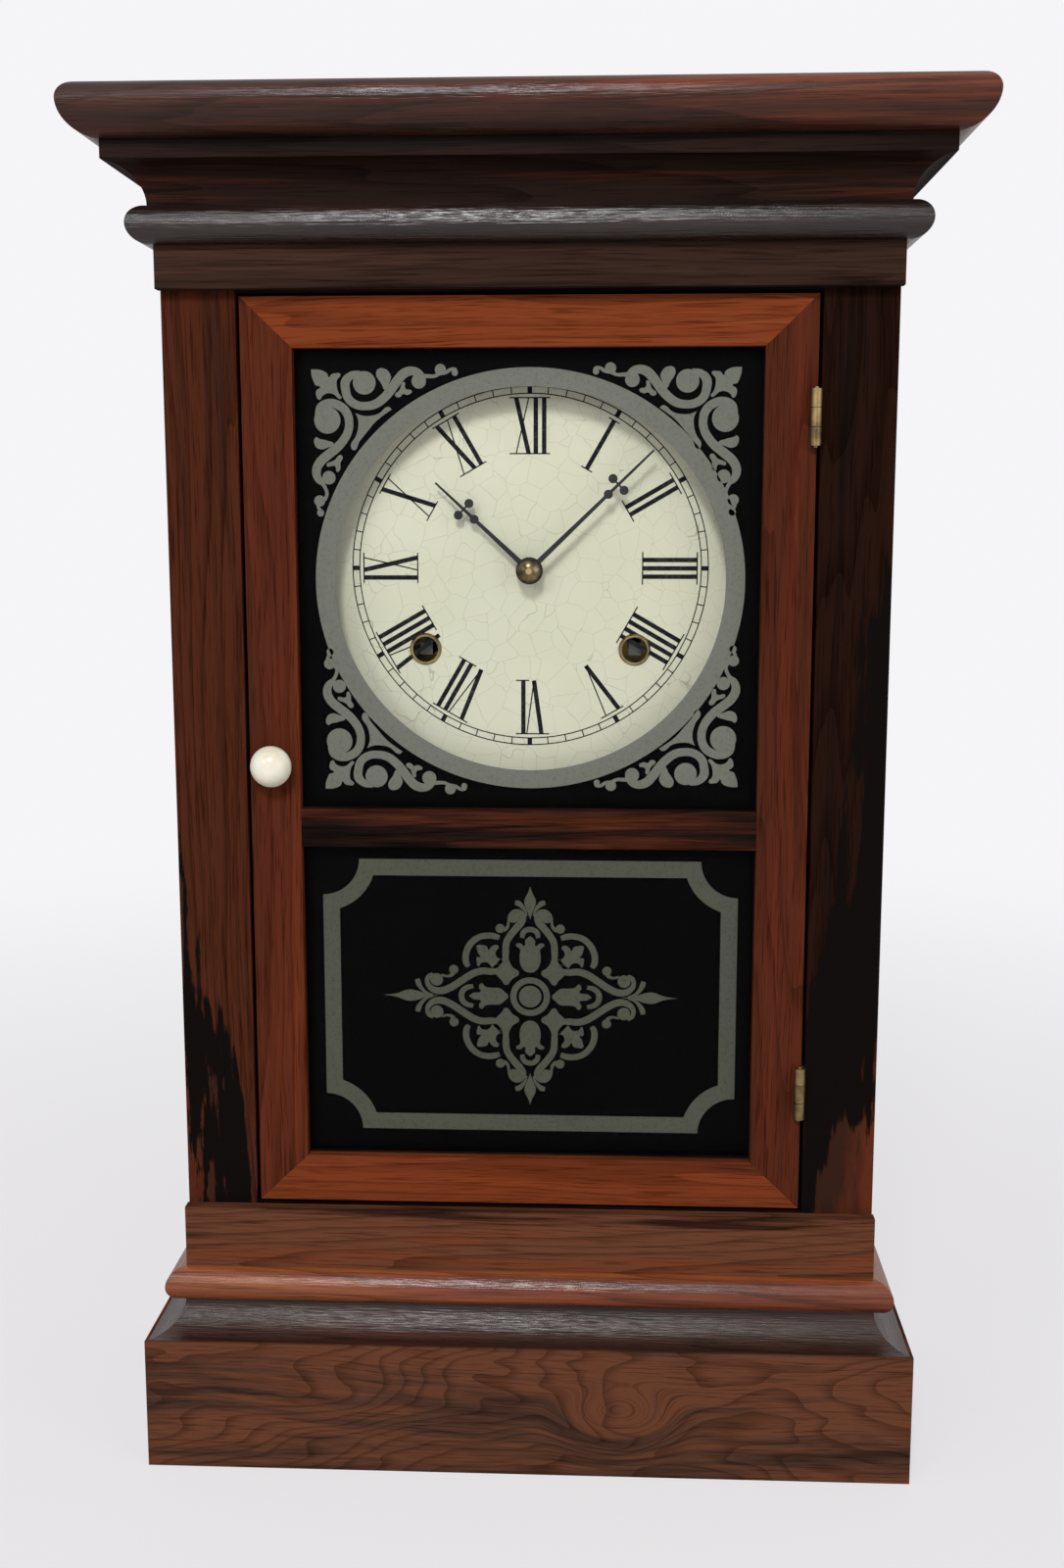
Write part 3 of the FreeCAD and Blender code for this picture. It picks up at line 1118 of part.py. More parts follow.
def make_pendulum(at):
    x, z = at.verge
    y = s.pendulumPlane
    bobLevel = z - s.pendulumLong
    foot = bobLevel - s.bobRadius
    tail = foot - s.rodTail
    keep(rod("rod", (x, y, tail), s.rodRadius, z - s.rodGap - tail, "Z"), "pendulum_rod")
    lens = new_body("bob")
    section = new_sketch(lens, "XY_Plane")
    half, edge, radius = s.bobThick.half(), s.bobRim.half(), s.bobRadius
    centre = (radius * radius + edge * edge - half * half) / (half - edge).times(2)
    outline(section, [(zero, -half), (radius, -edge), (radius, edge), (zero, half)],
            {0: ((zero, centre), -1), 2: ((zero, -centre), -1)})
    turn(lens, section)
    put(lens, x, y, bobLevel)
    hole = s.rodRadius + s.bobPlay
    bore = rod("bob_bore", (x, y, foot - s.overrun), hole, (radius + s.overrun).times(2), "Z")
    nutTop = foot - s.ratingNutGap
    nut = cut("rating_nut", rod("rating_nut_blank", (x, y, nutTop - s.ratingNutHigh), s.ratingNutRadius,
                                s.ratingNutHigh, "Z"),
              [rod("rating_nut_bore", (x, y, nutTop - s.ratingNutHigh - s.overrun), hole,
                   s.ratingNutHigh + s.overrun.times(2), "Z")])
    keep(group("bob_set", [cut("bob_bored", lens, [bore]), nut]), "pendulum_bob")
    start, wide = s.plateFront + s.plateThick.times(2) + s.plateBay, s.leafWidth.half()
    post = box("post", (-s.postSide, s.postSide), (start, start + s.postLong),
               (z + s.postRise, z + s.postRise + s.postHigh))
    leaf = box("leaf", (-s.springLeaf.half(), s.springLeaf.half()), (y - wide, y + wide),
               (z, z + s.postRise + s.postHigh.half()))
    keep(join("suspension_set", [post, leaf]), "suspension")


# Strike hammer and coiled gong


def make_strike(at):
    inside = s.plateFront + s.plateThick
    front, back = inside + s.endPlay, inside + s.plateBay - s.endPlay
    head = rod("hammer_head", (-s.hammerHeadLong.half(), s.hammerPlane, -s.hammerReach), s.hammerHead,
               s.hammerHeadLong, "X")
    hammer = join("hammer_set", [
        rod("hammer_pivot", (zero, s.plateFront, zero), s.pivotRadius, front - s.plateFront),
        rod("hammer_arbor", (zero, front, zero), s.arborRadius, back - front),
        rod("hammer_tail", (zero, back, zero), s.pivotRadius, s.hammerPlane - back),
        rod("hammer_wire", (zero, s.hammerPlane, -s.hammerReach), s.hammerWire, s.hammerReach, "Z"), head])
    hammer.Placement.Rotation = Rotation(Vector(0, 1, 0), hammer_angle)
    put(hammer, at.hammer[0], zero, at.hammer[1])
    keep(hammer, "hammer")
    place = (zero, s.gongLevel)
    turns = half_turns(place, s.gongPlane, s.gongInner.value, s.gongPitch.value, gong_half_turns, 1)
    edges = [Part.Arc(*[on_arc(centre, radius, angle) for angle in (a, (a + b) / 2, b)]).toShape()
             for centre, radius, a, b in turns]
    start = spot(place, s.gongPlane, s.gongInner.value)
    loop = Part.Wire(Part.Circle(start, Vector(0, 0, 1), s.gongWire.value).toShape())
    coil = drawn("gong_coil", Part.Wire(edges).makePipeShell([loop], True, True))
    rear = s.caseDepth - s.backThick
    base = rod("gong_base", (zero, s.gongBaseFront, s.gongLevel), s.gongBase, rear - s.gongBaseFront)
    lug = box("gong_lug", (zero, s.gongLug), (s.gongLugFront, rear),
              (s.gongLevel - s.gongLugHalf, s.gongLevel + s.gongLugHalf))
    keep(join("gong_set", [base, lug, coil]), "gong")


def make_movement(at):
    corner = make_plates(at)
    make_trains(at)
    make_motion_work(at)
    make_springs(at, corner)
    make_verge(at)
    make_pendulum(at)
    make_strike(at)


def check_and_write():
    doc.recompute()
    for item in doc.Objects:
        if {"Invalid", "Error"} & set(item.State):
            raise RuntimeError(f"{item.Label} failed: {item.State}")
    for item in subparts:
        shape = item.Shape
        if shape.isNull() or not shape.isValid() or not shape.Solids:
            raise RuntimeError(f"{item.Label} has no valid solid")
        if len(item.Label) >= 60:
            raise RuntimeError(f"{item.Label} is too long a name")
    for item in subparts:
        item.Shape.exportStep(f"parts/{item.Label}.step")
    print(len(subparts), "sub-parts,", sum(len(i.Shape.Solids) for i in subparts), "solids")


hang_from_edges()
places = find_places()
doc.recompute()
screwSets = make_case()
make_mouldings()
make_cap()
make_door()
screwSets += make_hinges()
make_latch()
screwSets += make_dial()
keep(group("screw_sets", screwSets), "case_screws")
make_hands()
make_movement(places)
check_and_write()
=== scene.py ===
# Cornice-top shelf clock: looks, dial print and painted glass over the CAD frame

import math

import bmesh
import bpy
from mathutils import Matrix, Vector


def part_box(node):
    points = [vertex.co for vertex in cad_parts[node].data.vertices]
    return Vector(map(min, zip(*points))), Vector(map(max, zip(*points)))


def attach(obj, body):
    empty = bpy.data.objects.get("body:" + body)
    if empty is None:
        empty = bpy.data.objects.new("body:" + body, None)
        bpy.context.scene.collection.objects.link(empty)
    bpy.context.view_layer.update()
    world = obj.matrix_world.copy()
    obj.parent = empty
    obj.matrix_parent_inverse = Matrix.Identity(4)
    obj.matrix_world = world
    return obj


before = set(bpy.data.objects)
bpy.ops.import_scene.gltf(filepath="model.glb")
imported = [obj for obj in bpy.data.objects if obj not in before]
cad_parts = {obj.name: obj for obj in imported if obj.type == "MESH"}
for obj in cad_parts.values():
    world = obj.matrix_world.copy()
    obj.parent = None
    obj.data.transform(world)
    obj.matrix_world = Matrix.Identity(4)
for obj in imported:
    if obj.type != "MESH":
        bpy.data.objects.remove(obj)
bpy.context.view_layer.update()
mm = 0.001

# The glass and the dial plate carry the printed work, so their faces place it

dialGlassLow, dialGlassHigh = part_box("dial_glass")
tabletLow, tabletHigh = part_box("tablet_glass")
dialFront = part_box("dial_plate")[0].y
nutLow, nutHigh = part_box("hand_nut")
arbor = Vector((0, 0, (nutLow.z + nutHigh.z) / 2))


# Shader helpers


def addNode(tree, kind, inputs=None, **settings):
    node = tree.nodes.new("ShaderNode" + kind)
    for key, value in settings.items():
        setattr(node, key, value)
    for key, value in (inputs or {}).items():
        if isinstance(value, bpy.types.NodeSocket):
            tree.links.new(value, node.inputs[key])
        else:
            node.inputs[key].default_value = value
    return node


def newMaterial(name, **values):
    material = bpy.data.materials.new(name)
    material.use_nodes = True
    tree = material.node_tree
    shader = tree.nodes["Principled BSDF"]
    for key, value in values.items():
        shader.inputs[key.replace("_", " ")].default_value = value
    return material, tree, shader


def objectCoords(tree):
    return addNode(tree, "TexCoord").outputs["Object"]


def stretched(tree, coords, scale, shift=(0, 0, 0)):
    return addNode(tree, "Mapping", {"Vector": coords, "Scale": scale, "Location": shift}).outputs[0]


def noise(tree, coords, scale, detail=3, roughness=0.5):
    values = {"Vector": coords, "Scale": scale, "Detail": detail, "Roughness": roughness}
    return addNode(tree, "TexNoise", values).outputs["Fac"]


def ramp(tree, factor, stops):
    node = addNode(tree, "ValToRGB", {"Fac": factor})
    band = node.color_ramp
    while len(band.elements) < len(stops):
        band.elements.new(0.5)
    for element, (place, colour) in zip(band.elements, stops):
        element.position = place
        element.color = (*colour, 1)
    return node.outputs["Color"]


def math2(tree, operation, first, second=0.0, clamp=False):
    return addNode(tree, "Math", {0: first, 1: second}, operation=operation, use_clamp=clamp).outputs[0]


def mixColour(tree, factor, first, second, blend="MIX"):
    node = addNode(tree, "Mix", {"Factor": factor}, data_type="RGBA", blend_type=blend)
    for key, value in ((6, first), (7, second)):
        if isinstance(value, bpy.types.NodeSocket):
            tree.links.new(value, node.inputs[key])
        else:
            node.inputs[key].default_value = (*value, 1)
    return node.outputs[2]


def smoothRange(tree, value, start, end):
    inputs = {"Value": value, "From Min": start, "From Max": end}
    return addNode(tree, "MapRange", inputs, interpolation_type="SMOOTHSTEP").outputs[0]


def bump(tree, shader, height, distance, strength=0.4):
    node = addNode(tree, "Bump", {"Height": height, "Distance": distance, "Strength": strength})
    for name in ("Normal", "Coat Normal"):
        tree.links.new(node.outputs[0], shader.inputs[name])


# Woods: long streaks wander along the grain, growth lines and darker pores run through them

black = (0.006, 0.0045, 0.004)
umber = (0.018, 0.009, 0.007)
walnut = (0.036, 0.014, 0.009)
rust = (0.068, 0.019, 0.0095)
russet = (0.105, 0.024, 0.011)
ember = (0.19, 0.042, 0.014)
amber = (0.29, 0.085, 0.028)
cocoa = (0.038, 0.02, 0.014)
hazel = (0.075, 0.035, 0.023)
chestnut = (0.135, 0.05, 0.026)
pine = ((0.16, 0.085, 0.04), (0.25, 0.14, 0.07), (0.3, 0.18, 0.09), (0.34, 0.21, 0.11))
poreTone = (0.4, 0.36, 0.34)
poreShare = 0.8

# The long values draw a pattern out along the grain, relief is the depth of a pore, and a coat is given
# by its weight, roughness and refraction

plainLook = {
    "warpScale": 9, "warpLong": 0.25, "warp": 0.012, "knot": None,
    "broad": 60, "fine": 420, "broadShare": 0.7, "long": 0.035, "stops": (0.38, 0.46, 0.54, 0.64),
    "rings": 26, "ringScale": 16, "ringLong": 0.07, "ringDark": 0.55,
    "pores": 1700, "poreLong": 0.025, "relief": 0.12 * mm,
    "roughness": 0.36, "coat": (0.0, 0.3, 1.4), "dullAbove": None,
}

# Every mitre of the mouldings lies where |x| + y has this value

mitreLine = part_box("cornice_bead")[1].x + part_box("cornice_bead")[0].y


def turnGrain(tree, coords, grain):
    across, deep, rise = addNode(tree, "SeparateXYZ", {0: coords}).outputs[:3]
    if grain == "Z":
        return coords
    front = addNode(tree, "CombineXYZ", {0: rise, 1: deep, 2: across}).outputs[0]
    if grain == "X":
        return front
    side = addNode(tree, "CombineXYZ", {0: rise, 1: across, 2: deep}).outputs[0]
    reach = math2(tree, "ADD", math2(tree, "ABSOLUTE", across), deep)
    return addNode(tree, "Mix", {0: math2(tree, "GREATER_THAN", reach, mitreLine), 4: front, 5: side},
                   data_type="VECTOR").outputs[1]


def knotLift(tree, knot):
    (across, rise), (wide, high), lift = knot
    shift = (-across / wide, 0, -rise / high)
    near = stretched(tree, objectCoords(tree), (1 / wide, 0, 1 / high), shift)
    far = addNode(tree, "VectorMath", {0: near}, operation="LENGTH").outputs["Value"]
    inputs = {"Value": far, "From Min": 0, "From Max": 1, "To Min": lift, "To Max": 0}
    return addNode(tree, "MapRange", inputs, interpolation_type="SMOOTHERSTEP").outputs[0]


def growthLine(tree, count):
    year = math2(tree, "FRACT", count)
    early = smoothRange(tree, year, -0.1, 0.45)
    return math2(tree, "ADD", early, smoothRange(tree, year, 0.95, 1.0), True)


def streaks(tree, coords, look):
    def drawnOut(share, scale, detail, roughness):
        return noise(tree, stretched(tree, bent, (1, 1, share)), scale, detail, roughness)

    warp = noise(tree, stretched(tree, coords, (1, 1, look["warpLong"])), look["warpScale"], 3, 0.6)
    push = math2(tree, "MULTIPLY", warp, look["warp"])
    if look["knot"]:
        push = math2(tree, "ADD", push, knotLift(tree, look["knot"]))
    shift = addNode(tree, "CombineXYZ", {0: push}).outputs[0]
    bent = addNode(tree, "VectorMath", {0: coords, 1: shift}, operation="ADD").outputs[0]
    broad = math2(tree, "MULTIPLY", drawnOut(look["long"], look["broad"], 4, 0.62), look["broadShare"])
    fine = drawnOut(look["long"] * 0.6, look["fine"], 4, 0.65)
    mixed = math2(tree, "ADD", broad, math2(tree, "MULTIPLY", fine, 1 - look["broadShare"]))
    pores = drawnOut(look["poreLong"], look["pores"], 2, 0.7)
    field = drawnOut(look["ringLong"], look["ringScale"], 4, 0.42)
    return mixed, pores, growthLine(tree, math2(tree, "MULTIPLY", field, look["rings"]))


def woodColour(tree, coords, colours, look):
    mixed, pores, rings = streaks(tree, coords, look)
    colour = ramp(tree, mixed, list(zip(look["stops"], colours)))
    lines = ramp(tree, rings, [(0, (look["ringDark"],) * 3), (1, (1, 1, 1))])
    colour = mixColour(tree, 1, colour, lines, "MULTIPLY")
    shade = ramp(tree, pores, [(0.34, poreTone), (0.48, (1, 1, 1))])
    return mixColour(tree, poreShare, colour, shade, "MULTIPLY"), pores


def startWood(name, look):
    weight, roughness, bend = look["coat"]
    return newMaterial(name, Roughness=look["roughness"], Specular_IOR_Level=0.0, Coat_Weight=weight,
                       Coat_Roughness=roughness, Coat_IOR=bend)


def wood(name, colours, grain="Z", shift=(0, 0, 0), **changes):
    look = dict(plainLook, **changes)
    material, tree, shader = startWood(name, look)
    coords = stretched(tree, turnGrain(tree, objectCoords(tree), grain), (1, 1, 1), shift)
    colour, pores = woodColour(tree, coords, colours, look)
    tree.links.new(colour, shader.inputs["Base Color"])
    bump(tree, shader, pores, look["relief"])
    if look["dullAbove"]:
        rise = addNode(tree, "SeparateXYZ", {0: objectCoords(tree)}).outputs[2]
        glossy = math2(tree, "LESS_THAN", rise, look["dullAbove"])
        tree.links.new(math2(tree, "MULTIPLY", glossy, look["coat"][0]), shader.inputs["Coat Weight"])
    return material


# The stiles: nearly black heartwood climbs from the foot on both sides, and red flames in front of it.
# Each climb has its reach across the stile, its slope, its start and its raggedness

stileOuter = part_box("front_stiles")[1].x
stileWide = 25.5 * mm
coolTone = (0.26, 0.37, 0.48)
climbs = {
    "left": {"heart": (0.95, 8.0, 0.12, 0.9), "flame": (0.34, 3.5, 0.10, 1.5)},
    "right": {"heart": (1.25, 6.0, 0.12, 0.9), "flame": (0.72, 13.0, 0.10, 1.0)},
}


def climbMask(tree, across, rise, streak, climb):
    reach, slope, start, ragged = climb
    drop = math2(tree, "MULTIPLY", math2(tree, "SUBTRACT", rise, start), slope)
    torn = math2(tree, "MULTIPLY", math2(tree, "SUBTRACT", streak, 0.5), ragged * 2)
    taken = math2(tree, "ADD", math2(tree, "ADD", drop, torn), across)
    return smoothRange(tree, math2(tree, "SUBTRACT", reach, taken), 0.0, 0.12)


def stileWood():
    look = dict(plainLook, warp=0.02, warpScale=7)
    material, tree, shader = startWood("stile_rosewood", look)
    coords = objectCoords(tree)
    warm, pores = woodColour(tree, coords, (walnut, rust, rust, russet), look)
    x, y, rise = addNode(tree, "SeparateXYZ", {0: coords}).outputs[:3]
    inward = math2(tree, "SUBTRACT", stileOuter, math2(tree, "ABSOLUTE", x))
    across = math2(tree, "DIVIDE", inward, stileWide)
    streak = noise(tree, stretched(tree, coords, (1, 1, 0.12)), 150, 5, 0.6)
    right = math2(tree, "GREATER_THAN", x, 0.0)
    cool = mixColour(tree, 1, warm, coolTone, "MULTIPLY")
    colour = mixColour(tree, right, warm, cool)
    masks = {}
    for part in ("heart", "flame"):
        left = climbMask(tree, across, rise, streak, climbs["left"][part])
        other = climbMask(tree, across, rise, streak, climbs["right"][part])
        masks[part] = addNode(tree, "Mix", {0: right, 2: left, 3: other}, data_type="FLOAT").outputs[0]
    front = math2(tree, "LESS_THAN", y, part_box("front_stiles")[1].y)
    masks = {part: math2(tree, "MULTIPLY", mask, front) for part, mask in masks.items()}
    colour = mixColour(tree, masks["heart"], colour, black)
    flames = ramp(tree, streak, [(0.4, walnut), (0.62, russet)])
    colour = mixColour(tree, masks["flame"], colour, flames)
    tree.links.new(colour, shader.inputs["Base Color"])
    bump(tree, shader, pores, look["relief"])
    return material


def dress(node, material):
    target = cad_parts[node]
    target.data.materials.clear()
    target.data.materials.append(material)


def dressWoods():
    stiles = stileWood()
    for node in ("front_stiles", "side_boards"):
        dress(node, stiles)
    plinthLook = {"warp": 0.03, "warpScale": 11, "long": 0.08, "rings": 58, "ringScale": 10,
                  "ringLong": 0.32, "ringDark": 0.56,
                  "knot": ((34 * mm, 20 * mm), (34 * mm, 22 * mm), 16 * mm)}
    capLook = {"coat": (0.7, 0.24, 1.42), "relief": 0.5 * mm,
               "dullAbove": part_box("cornice_cap")[1].z - 0.4 * mm}
    pieces = {
        "frieze_board": ("X", (umber, cocoa, cocoa, hazel), {"pores": 1300, "ringDark": 0.7}),
        "lower_rail": ("X", (walnut, chestnut, chestnut, ember), {"long": 0.05}),
        "plinth": ("mitred", (cocoa, hazel, chestnut, chestnut), plinthLook),
        "cornice_cap": ("mitred", (umber, walnut, rust, ember), capLook),
        # The cornice cove's near-black colours are partly painted shade, the shade under the cap's
        # overhang, over dark veneer
        "cornice_cove": ("mitred", (black, umber, umber, rust), {"coat": (0.1, 0.3, 1.4)}),
        "cornice_bead": ("mitred", (black, umber, umber, walnut),
                         {"coat": (1.0, 0.24, 1.56), "relief": 0.8 * mm}),
        "base_bead": ("mitred", (russet, ember, amber, amber),
                      {"coat": (1.0, 0.24, 1.45), "relief": 0.5 * mm}),
        "base_cove": ("mitred", (umber, walnut, walnut, rust),
                      {"coat": (1.0, 0.28, 1.45), "relief": 0.8 * mm}),
        "door_middle_bar": ("X", (black, umber, rust, ember), {"long": 0.06}),
        "front_rails": ("X", (black, black, umber, umber), {}),
        "glazing_beads": ("X", (black, umber, umber, walnut), {}),
    }
    for node, (grain, colours, changes) in pieces.items():
        dress(node, wood(node + "_veneer", colours, grain, **changes))
    doorLook = {"stops": (0.3, 0.42, 0.54, 0.7), "warp": 0.02, "ringDark": 0.65}
    doorPieces = {"left_stile": ("Z", (0.3, 0, 0), (walnut, rust, russet, ember)),
                  "right_stile": ("Z", (0, 0.2, 0.4), (walnut, rust, russet, ember)),
                  "top_rail": ("X", (0.1, 0, 0), (rust, ember, ember, amber)),
                  "bottom_rail": ("X", (0, 0.3, 0.2), (rust, russet, ember, ember))}
    for piece, (grain, shift, colours) in doorPieces.items():
        dress("door_" + piece, wood(f"door_{piece}_veneer", colours, grain, shift, **doorLook))
    softwoods = {"Z": ("back_board", "dial_rails"),
                 "X": ("case_shelves", "cornice_top_board", "glue_blocks", "movement_feet")}
    for grain, nodes in softwoods.items():
        softwood = wood("old_softwood_" + grain, pine, grain, roughness=0.7, ringDark=0.8)
        for node in nodes:
            dress(node, softwood)


# Metals: patches of clean and worn metal over fine pits

metals = {
    "movement_brass": {
        "clean": (0.62, 0.44, 0.17), "worn": (0.4, 0.27, 0.1), "roughness": 0.3, "scale": 60,
        "nodes": ("front_plate", "back_plate", "centre_wheel", "hour_wheel", "minute_wheel",
                  "third_wheel", "escape_wheel", "time_second_wheel", "time_great_wheel",
                  "strike_second_wheel", "strike_great_wheel")},
    "aged_brass": {
        "clean": (0.4, 0.31, 0.16), "worn": (0.16, 0.12, 0.07), "roughness": 0.34, "scale": 160,
        "nodes": ("dial_grommets",)},
    "dark_brass": {
        "clean": (0.24, 0.18, 0.1), "worn": (0.07, 0.055, 0.035), "roughness": 0.3, "scale": 220,
        "nodes": ("hand_nut",)},
    "bob_brass": {
        "clean": (0.66, 0.47, 0.19), "worn": (0.45, 0.31, 0.12), "roughness": 0.25, "scale": 60,
        "nodes": ("pendulum_bob",)},
    "hinge_brass": {
        "clean": (0.3, 0.22, 0.1), "worn": (0.09, 0.065, 0.035), "roughness": 0.42, "scale": 140,
        "nodes": ("hinge_case_leaves", "hinge_door_leaves", "hinge_pins")},
    "steel": {
        "clean": (0.5, 0.5, 0.5), "worn": (0.3, 0.29, 0.28), "roughness": 0.35, "scale": 60,
        "nodes": ("plate_pillars", "suspension", "latch_tongue", "verge", "pendulum_rod", "hammer")},
    # The winding arbors' steel is darker than the other steel: painted shade of the winding holes, over
    # the grey of the steel
    "arbor_steel_painted_shade": {
        "clean": (0.12, 0.12, 0.12), "worn": (0.06, 0.057, 0.054), "roughness": 0.5, "scale": 60,
        "nodes": ("time_winding_arbor", "strike_winding_arbor")},
    "spring_steel": {
        "clean": (0.16, 0.17, 0.2), "worn": (0.08, 0.08, 0.09), "roughness": 0.35, "scale": 60,
        "nodes": ("mainsprings",)},
    "gong_iron": {
        "clean": (0.06, 0.06, 0.065), "worn": (0.035, 0.033, 0.032), "roughness": 0.5, "scale": 60,
        "nodes": ("gong",)},
    "screw_iron": {
        "clean": (0.22, 0.2, 0.18), "worn": (0.1, 0.08, 0.07), "roughness": 0.45, "scale": 60,
        "nodes": ("case_screws", "hinge_door_screws")},
    "blacked_steel": {
        "clean": (0.02, 0.02, 0.022), "worn": (0.01, 0.01, 0.011), "roughness": 0.4, "scale": 200,
        "metallic": 0.4, "nodes": ("minute_hand", "hour_hand")},
}
pitsFiner = 12
pitDepth = 0.04 * mm


def dressMetals():
    for name, look in metals.items():
        metallic = look.get("metallic", 1.0)
        material, tree, shader = newMaterial(name, Metallic=metallic, Roughness=look["roughness"])
        coords = objectCoords(tree)
        patches = noise(tree, coords, look["scale"], 5, 0.6)
        tone = ramp(tree, patches, [(0.35, look["worn"]), (0.62, look["clean"])])
        tree.links.new(tone, shader.inputs["Base Color"])
        bump(tree, shader, noise(tree, coords, look["scale"] * pitsFiner), pitDepth)
        for node in look["nodes"]:
            dress(node, material)


# Dial paint, bone and glass

dialLook = {"dark": (0.61, 0.6, 0.46), "pale": (0.67, 0.66, 0.53), "crack": (0.42, 0.4, 0.3),
            "cells": 130, "wander": 0.02, "crackWide": 0.012, "crackDeep": 0.05 * mm}
boneDark, bonePale = (0.78, 0.68, 0.52), (0.87, 0.82, 0.7)
glassDark, glassPale = (0.975, 0.985, 0.978), (0.995, 1, 0.996)


def dressDial():
    material, tree, shader = newMaterial("dial_paint", Roughness=0.5)
    coords = objectCoords(tree)
    tone = ramp(tree, noise(tree, coords, 22, 4), [(0.3, dialLook["dark"]), (0.7, dialLook["pale"])])
    wander = math2(tree, "MULTIPLY", noise(tree, coords, 30), dialLook["wander"])
    bent = addNode(tree, "VectorMath", {0: coords, 1: wander}, operation="ADD").outputs[0]
    edges = addNode(tree, "TexVoronoi", {"Vector": bent, "Scale": dialLook["cells"]},
                    feature="DISTANCE_TO_EDGE").outputs[0]
    crack = smoothRange(tree, edges, 0.0, dialLook["crackWide"])
    tree.links.new(mixColour(tree, crack, dialLook["crack"], tone), shader.inputs["Base Color"])
    bump(tree, shader, crack, dialLook["crackDeep"], 0.3)
    dress("dial_plate", material)


def dressBone():
    material, tree, shader = newMaterial("bone", Roughness=0.28, Subsurface_Weight=0.1)
    streak = noise(tree, stretched(tree, objectCoords(tree), (1, 0.3, 1)), 160, 4)
    tree.links.new(ramp(tree, streak, [(0.35, boneDark), (0.65, bonePale)]), shader.inputs["Base Color"])
    dress("door_knob", material)


def dressGlass():
    material = bpy.data.materials.new("old_glass")
    material.use_nodes = True
    tree = material.node_tree
    tree.nodes.clear()
    tint = ramp(tree, noise(tree, objectCoords(tree), 9, 2), [(0.3, glassDark), (0.7, glassPale)])
    clear = addNode(tree, "BsdfTransparent", {"Color": tint})
    result = addNode(tree, "OutputMaterial")
    tree.links.new(clear.outputs[0], result.inputs[0])
    for node in ("dial_glass", "tablet_glass"):
        dress(node, material)


def paint(name, colour, spots):
    material, tree, shader = newMaterial(name, Roughness=0.3, Specular_IOR_Level=0.03)
    tone = noise(tree, objectCoords(tree), 900, 4, 0.7)
    tree.links.new(ramp(tree, tone, [(0.3, spots), (0.5, colour)]), shader.inputs["Base Color"])
    return material


printBlack = paint("dial_print", (0.012, 0.012, 0.014), (0.05, 0.05, 0.048))
ringSilver = paint("ring_silver", (0.165, 0.168, 0.145), (0.13, 0.132, 0.115))
# The tablet's border and medallion take a darker copy of the ring's silver: painted shade, for the lower
# pane getting less light
shadedBorderSilver = paint("border_silver_painted_shade", (0.085, 0.086, 0.068), (0.06, 0.061, 0.048))
glassBlack = paint("glass_black", (0.0013, 0.0013, 0.0015), (0.003, 0.003, 0.0035))


# Flat shapes, drawn in x and z and set upright in the front plane


def addPiece(name, shape, body, material):
    mesh = bpy.data.meshes.new(name)
    shape.to_mesh(mesh)
    shape.free()
    mesh.shade_flat()
    mesh.materials.append(material)
    piece = bpy.data.objects.new(name, mesh)
    bpy.context.collection.objects.link(piece)
    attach(piece, body)


def faceFront(shape):
    back = [face for face in shape.faces if face.normal.z < -0.999]
    if back:
        bmesh.ops.reverse_faces(shape, faces=back)


def upright(shape, centre, depth):
    place = Matrix.Translation((centre[0], depth, centre[1])) @ Matrix.Rotation(math.pi / 2, 4, "X")
    bmesh.ops.transform(shape, matrix=place, verts=shape.verts)
    return shape


def addDisc(shape, centre, radius, segments):
    bmesh.ops.create_circle(shape, cap_ends=True, segments=segments, radius=radius,
                            matrix=Matrix.Translation((*centre, 0)))


def addRing(shape, centre, outer, inner, segments):
    edges = []
    for half in (outer, inner):
        place = Matrix.Translation((*centre, 0)) @ Matrix.Diagonal((half[0], half[1], 1, 1))
        made = bmesh.ops.create_circle(shape, segments=segments, radius=1, matrix=place)["verts"]
        edges += {edge for vert in made for edge in vert.link_edges}
    bmesh.ops.bridge_loops(shape, edges=edges)


def addBar(shape, start, end, width):
    first, last = Vector((*start, 0)), Vector((*end, 0))
    along = last - first
    turn = Matrix.Rotation(math.atan2(along.y, along.x), 4, "Z")
    size = Matrix.Diagonal((along.length / 2, width / 2, 1, 1))
    place = Matrix.Translation((first + last) / 2) @ turn @ size
    bmesh.ops.create_grid(shape, x_segments=1, y_segments=1, size=1, matrix=place)


# A closed line bounds a filled shape, and a point that carries the tip mark is sharp. An open line is a
# stroke, and each point carries its half width

tip = "sharp"
strokeFlat = 0.0008


def addCurve(shape, lines, closed):
    data = bpy.data.curves.new("outline", "CURVE")
    data.dimensions = "2D" if closed else "3D"
    data.resolution_u = 6
    if closed:
        data.fill_mode = "BOTH"
    else:
        data.bevel_depth = 1
        data.bevel_resolution = 0
        data.use_fill_caps = True
    for line in lines:
        spline = data.splines.new("BEZIER")
        spline.bezier_points.add(len(line) - 1)
        spline.use_cyclic_u = closed
        for point, (across, rise, *rest) in zip(spline.bezier_points, line):
            point.co = (across, rise, 0)
            point.radius = rest[0] if rest and not closed else 1
            point.handle_left_type = point.handle_right_type = "VECTOR" if closed and rest else "AUTO"
    holder = bpy.data.objects.new("outline", data)
    bpy.context.collection.objects.link(holder)
    mesh = bpy.data.meshes.new_from_object(holder.evaluated_get(bpy.context.evaluated_depsgraph_get()))
    bpy.data.objects.remove(holder)
    bpy.data.curves.remove(data)
    mesh.transform(Matrix.Diagonal((1, 1, strokeFlat, 1)))
    shape.from_mesh(mesh)
    bpy.data.meshes.remove(mesh)


# Dial print: the minute track and the numerals, on the dial plate's front

clearance = 0.04 * mm
dialCentre = (0.0, arbor.z + 0.8 * mm)
track = {"outer": 63.75 * mm, "inner": 61.3 * mm, "line": 0.4 * mm, "block": 1.65 * mm}
numeral = {"foot": 40.0 * mm, "top": 59.8 * mm, "thick": 1.6 * mm, "thin": 0.45 * mm, "serif": 0.45 * mm}


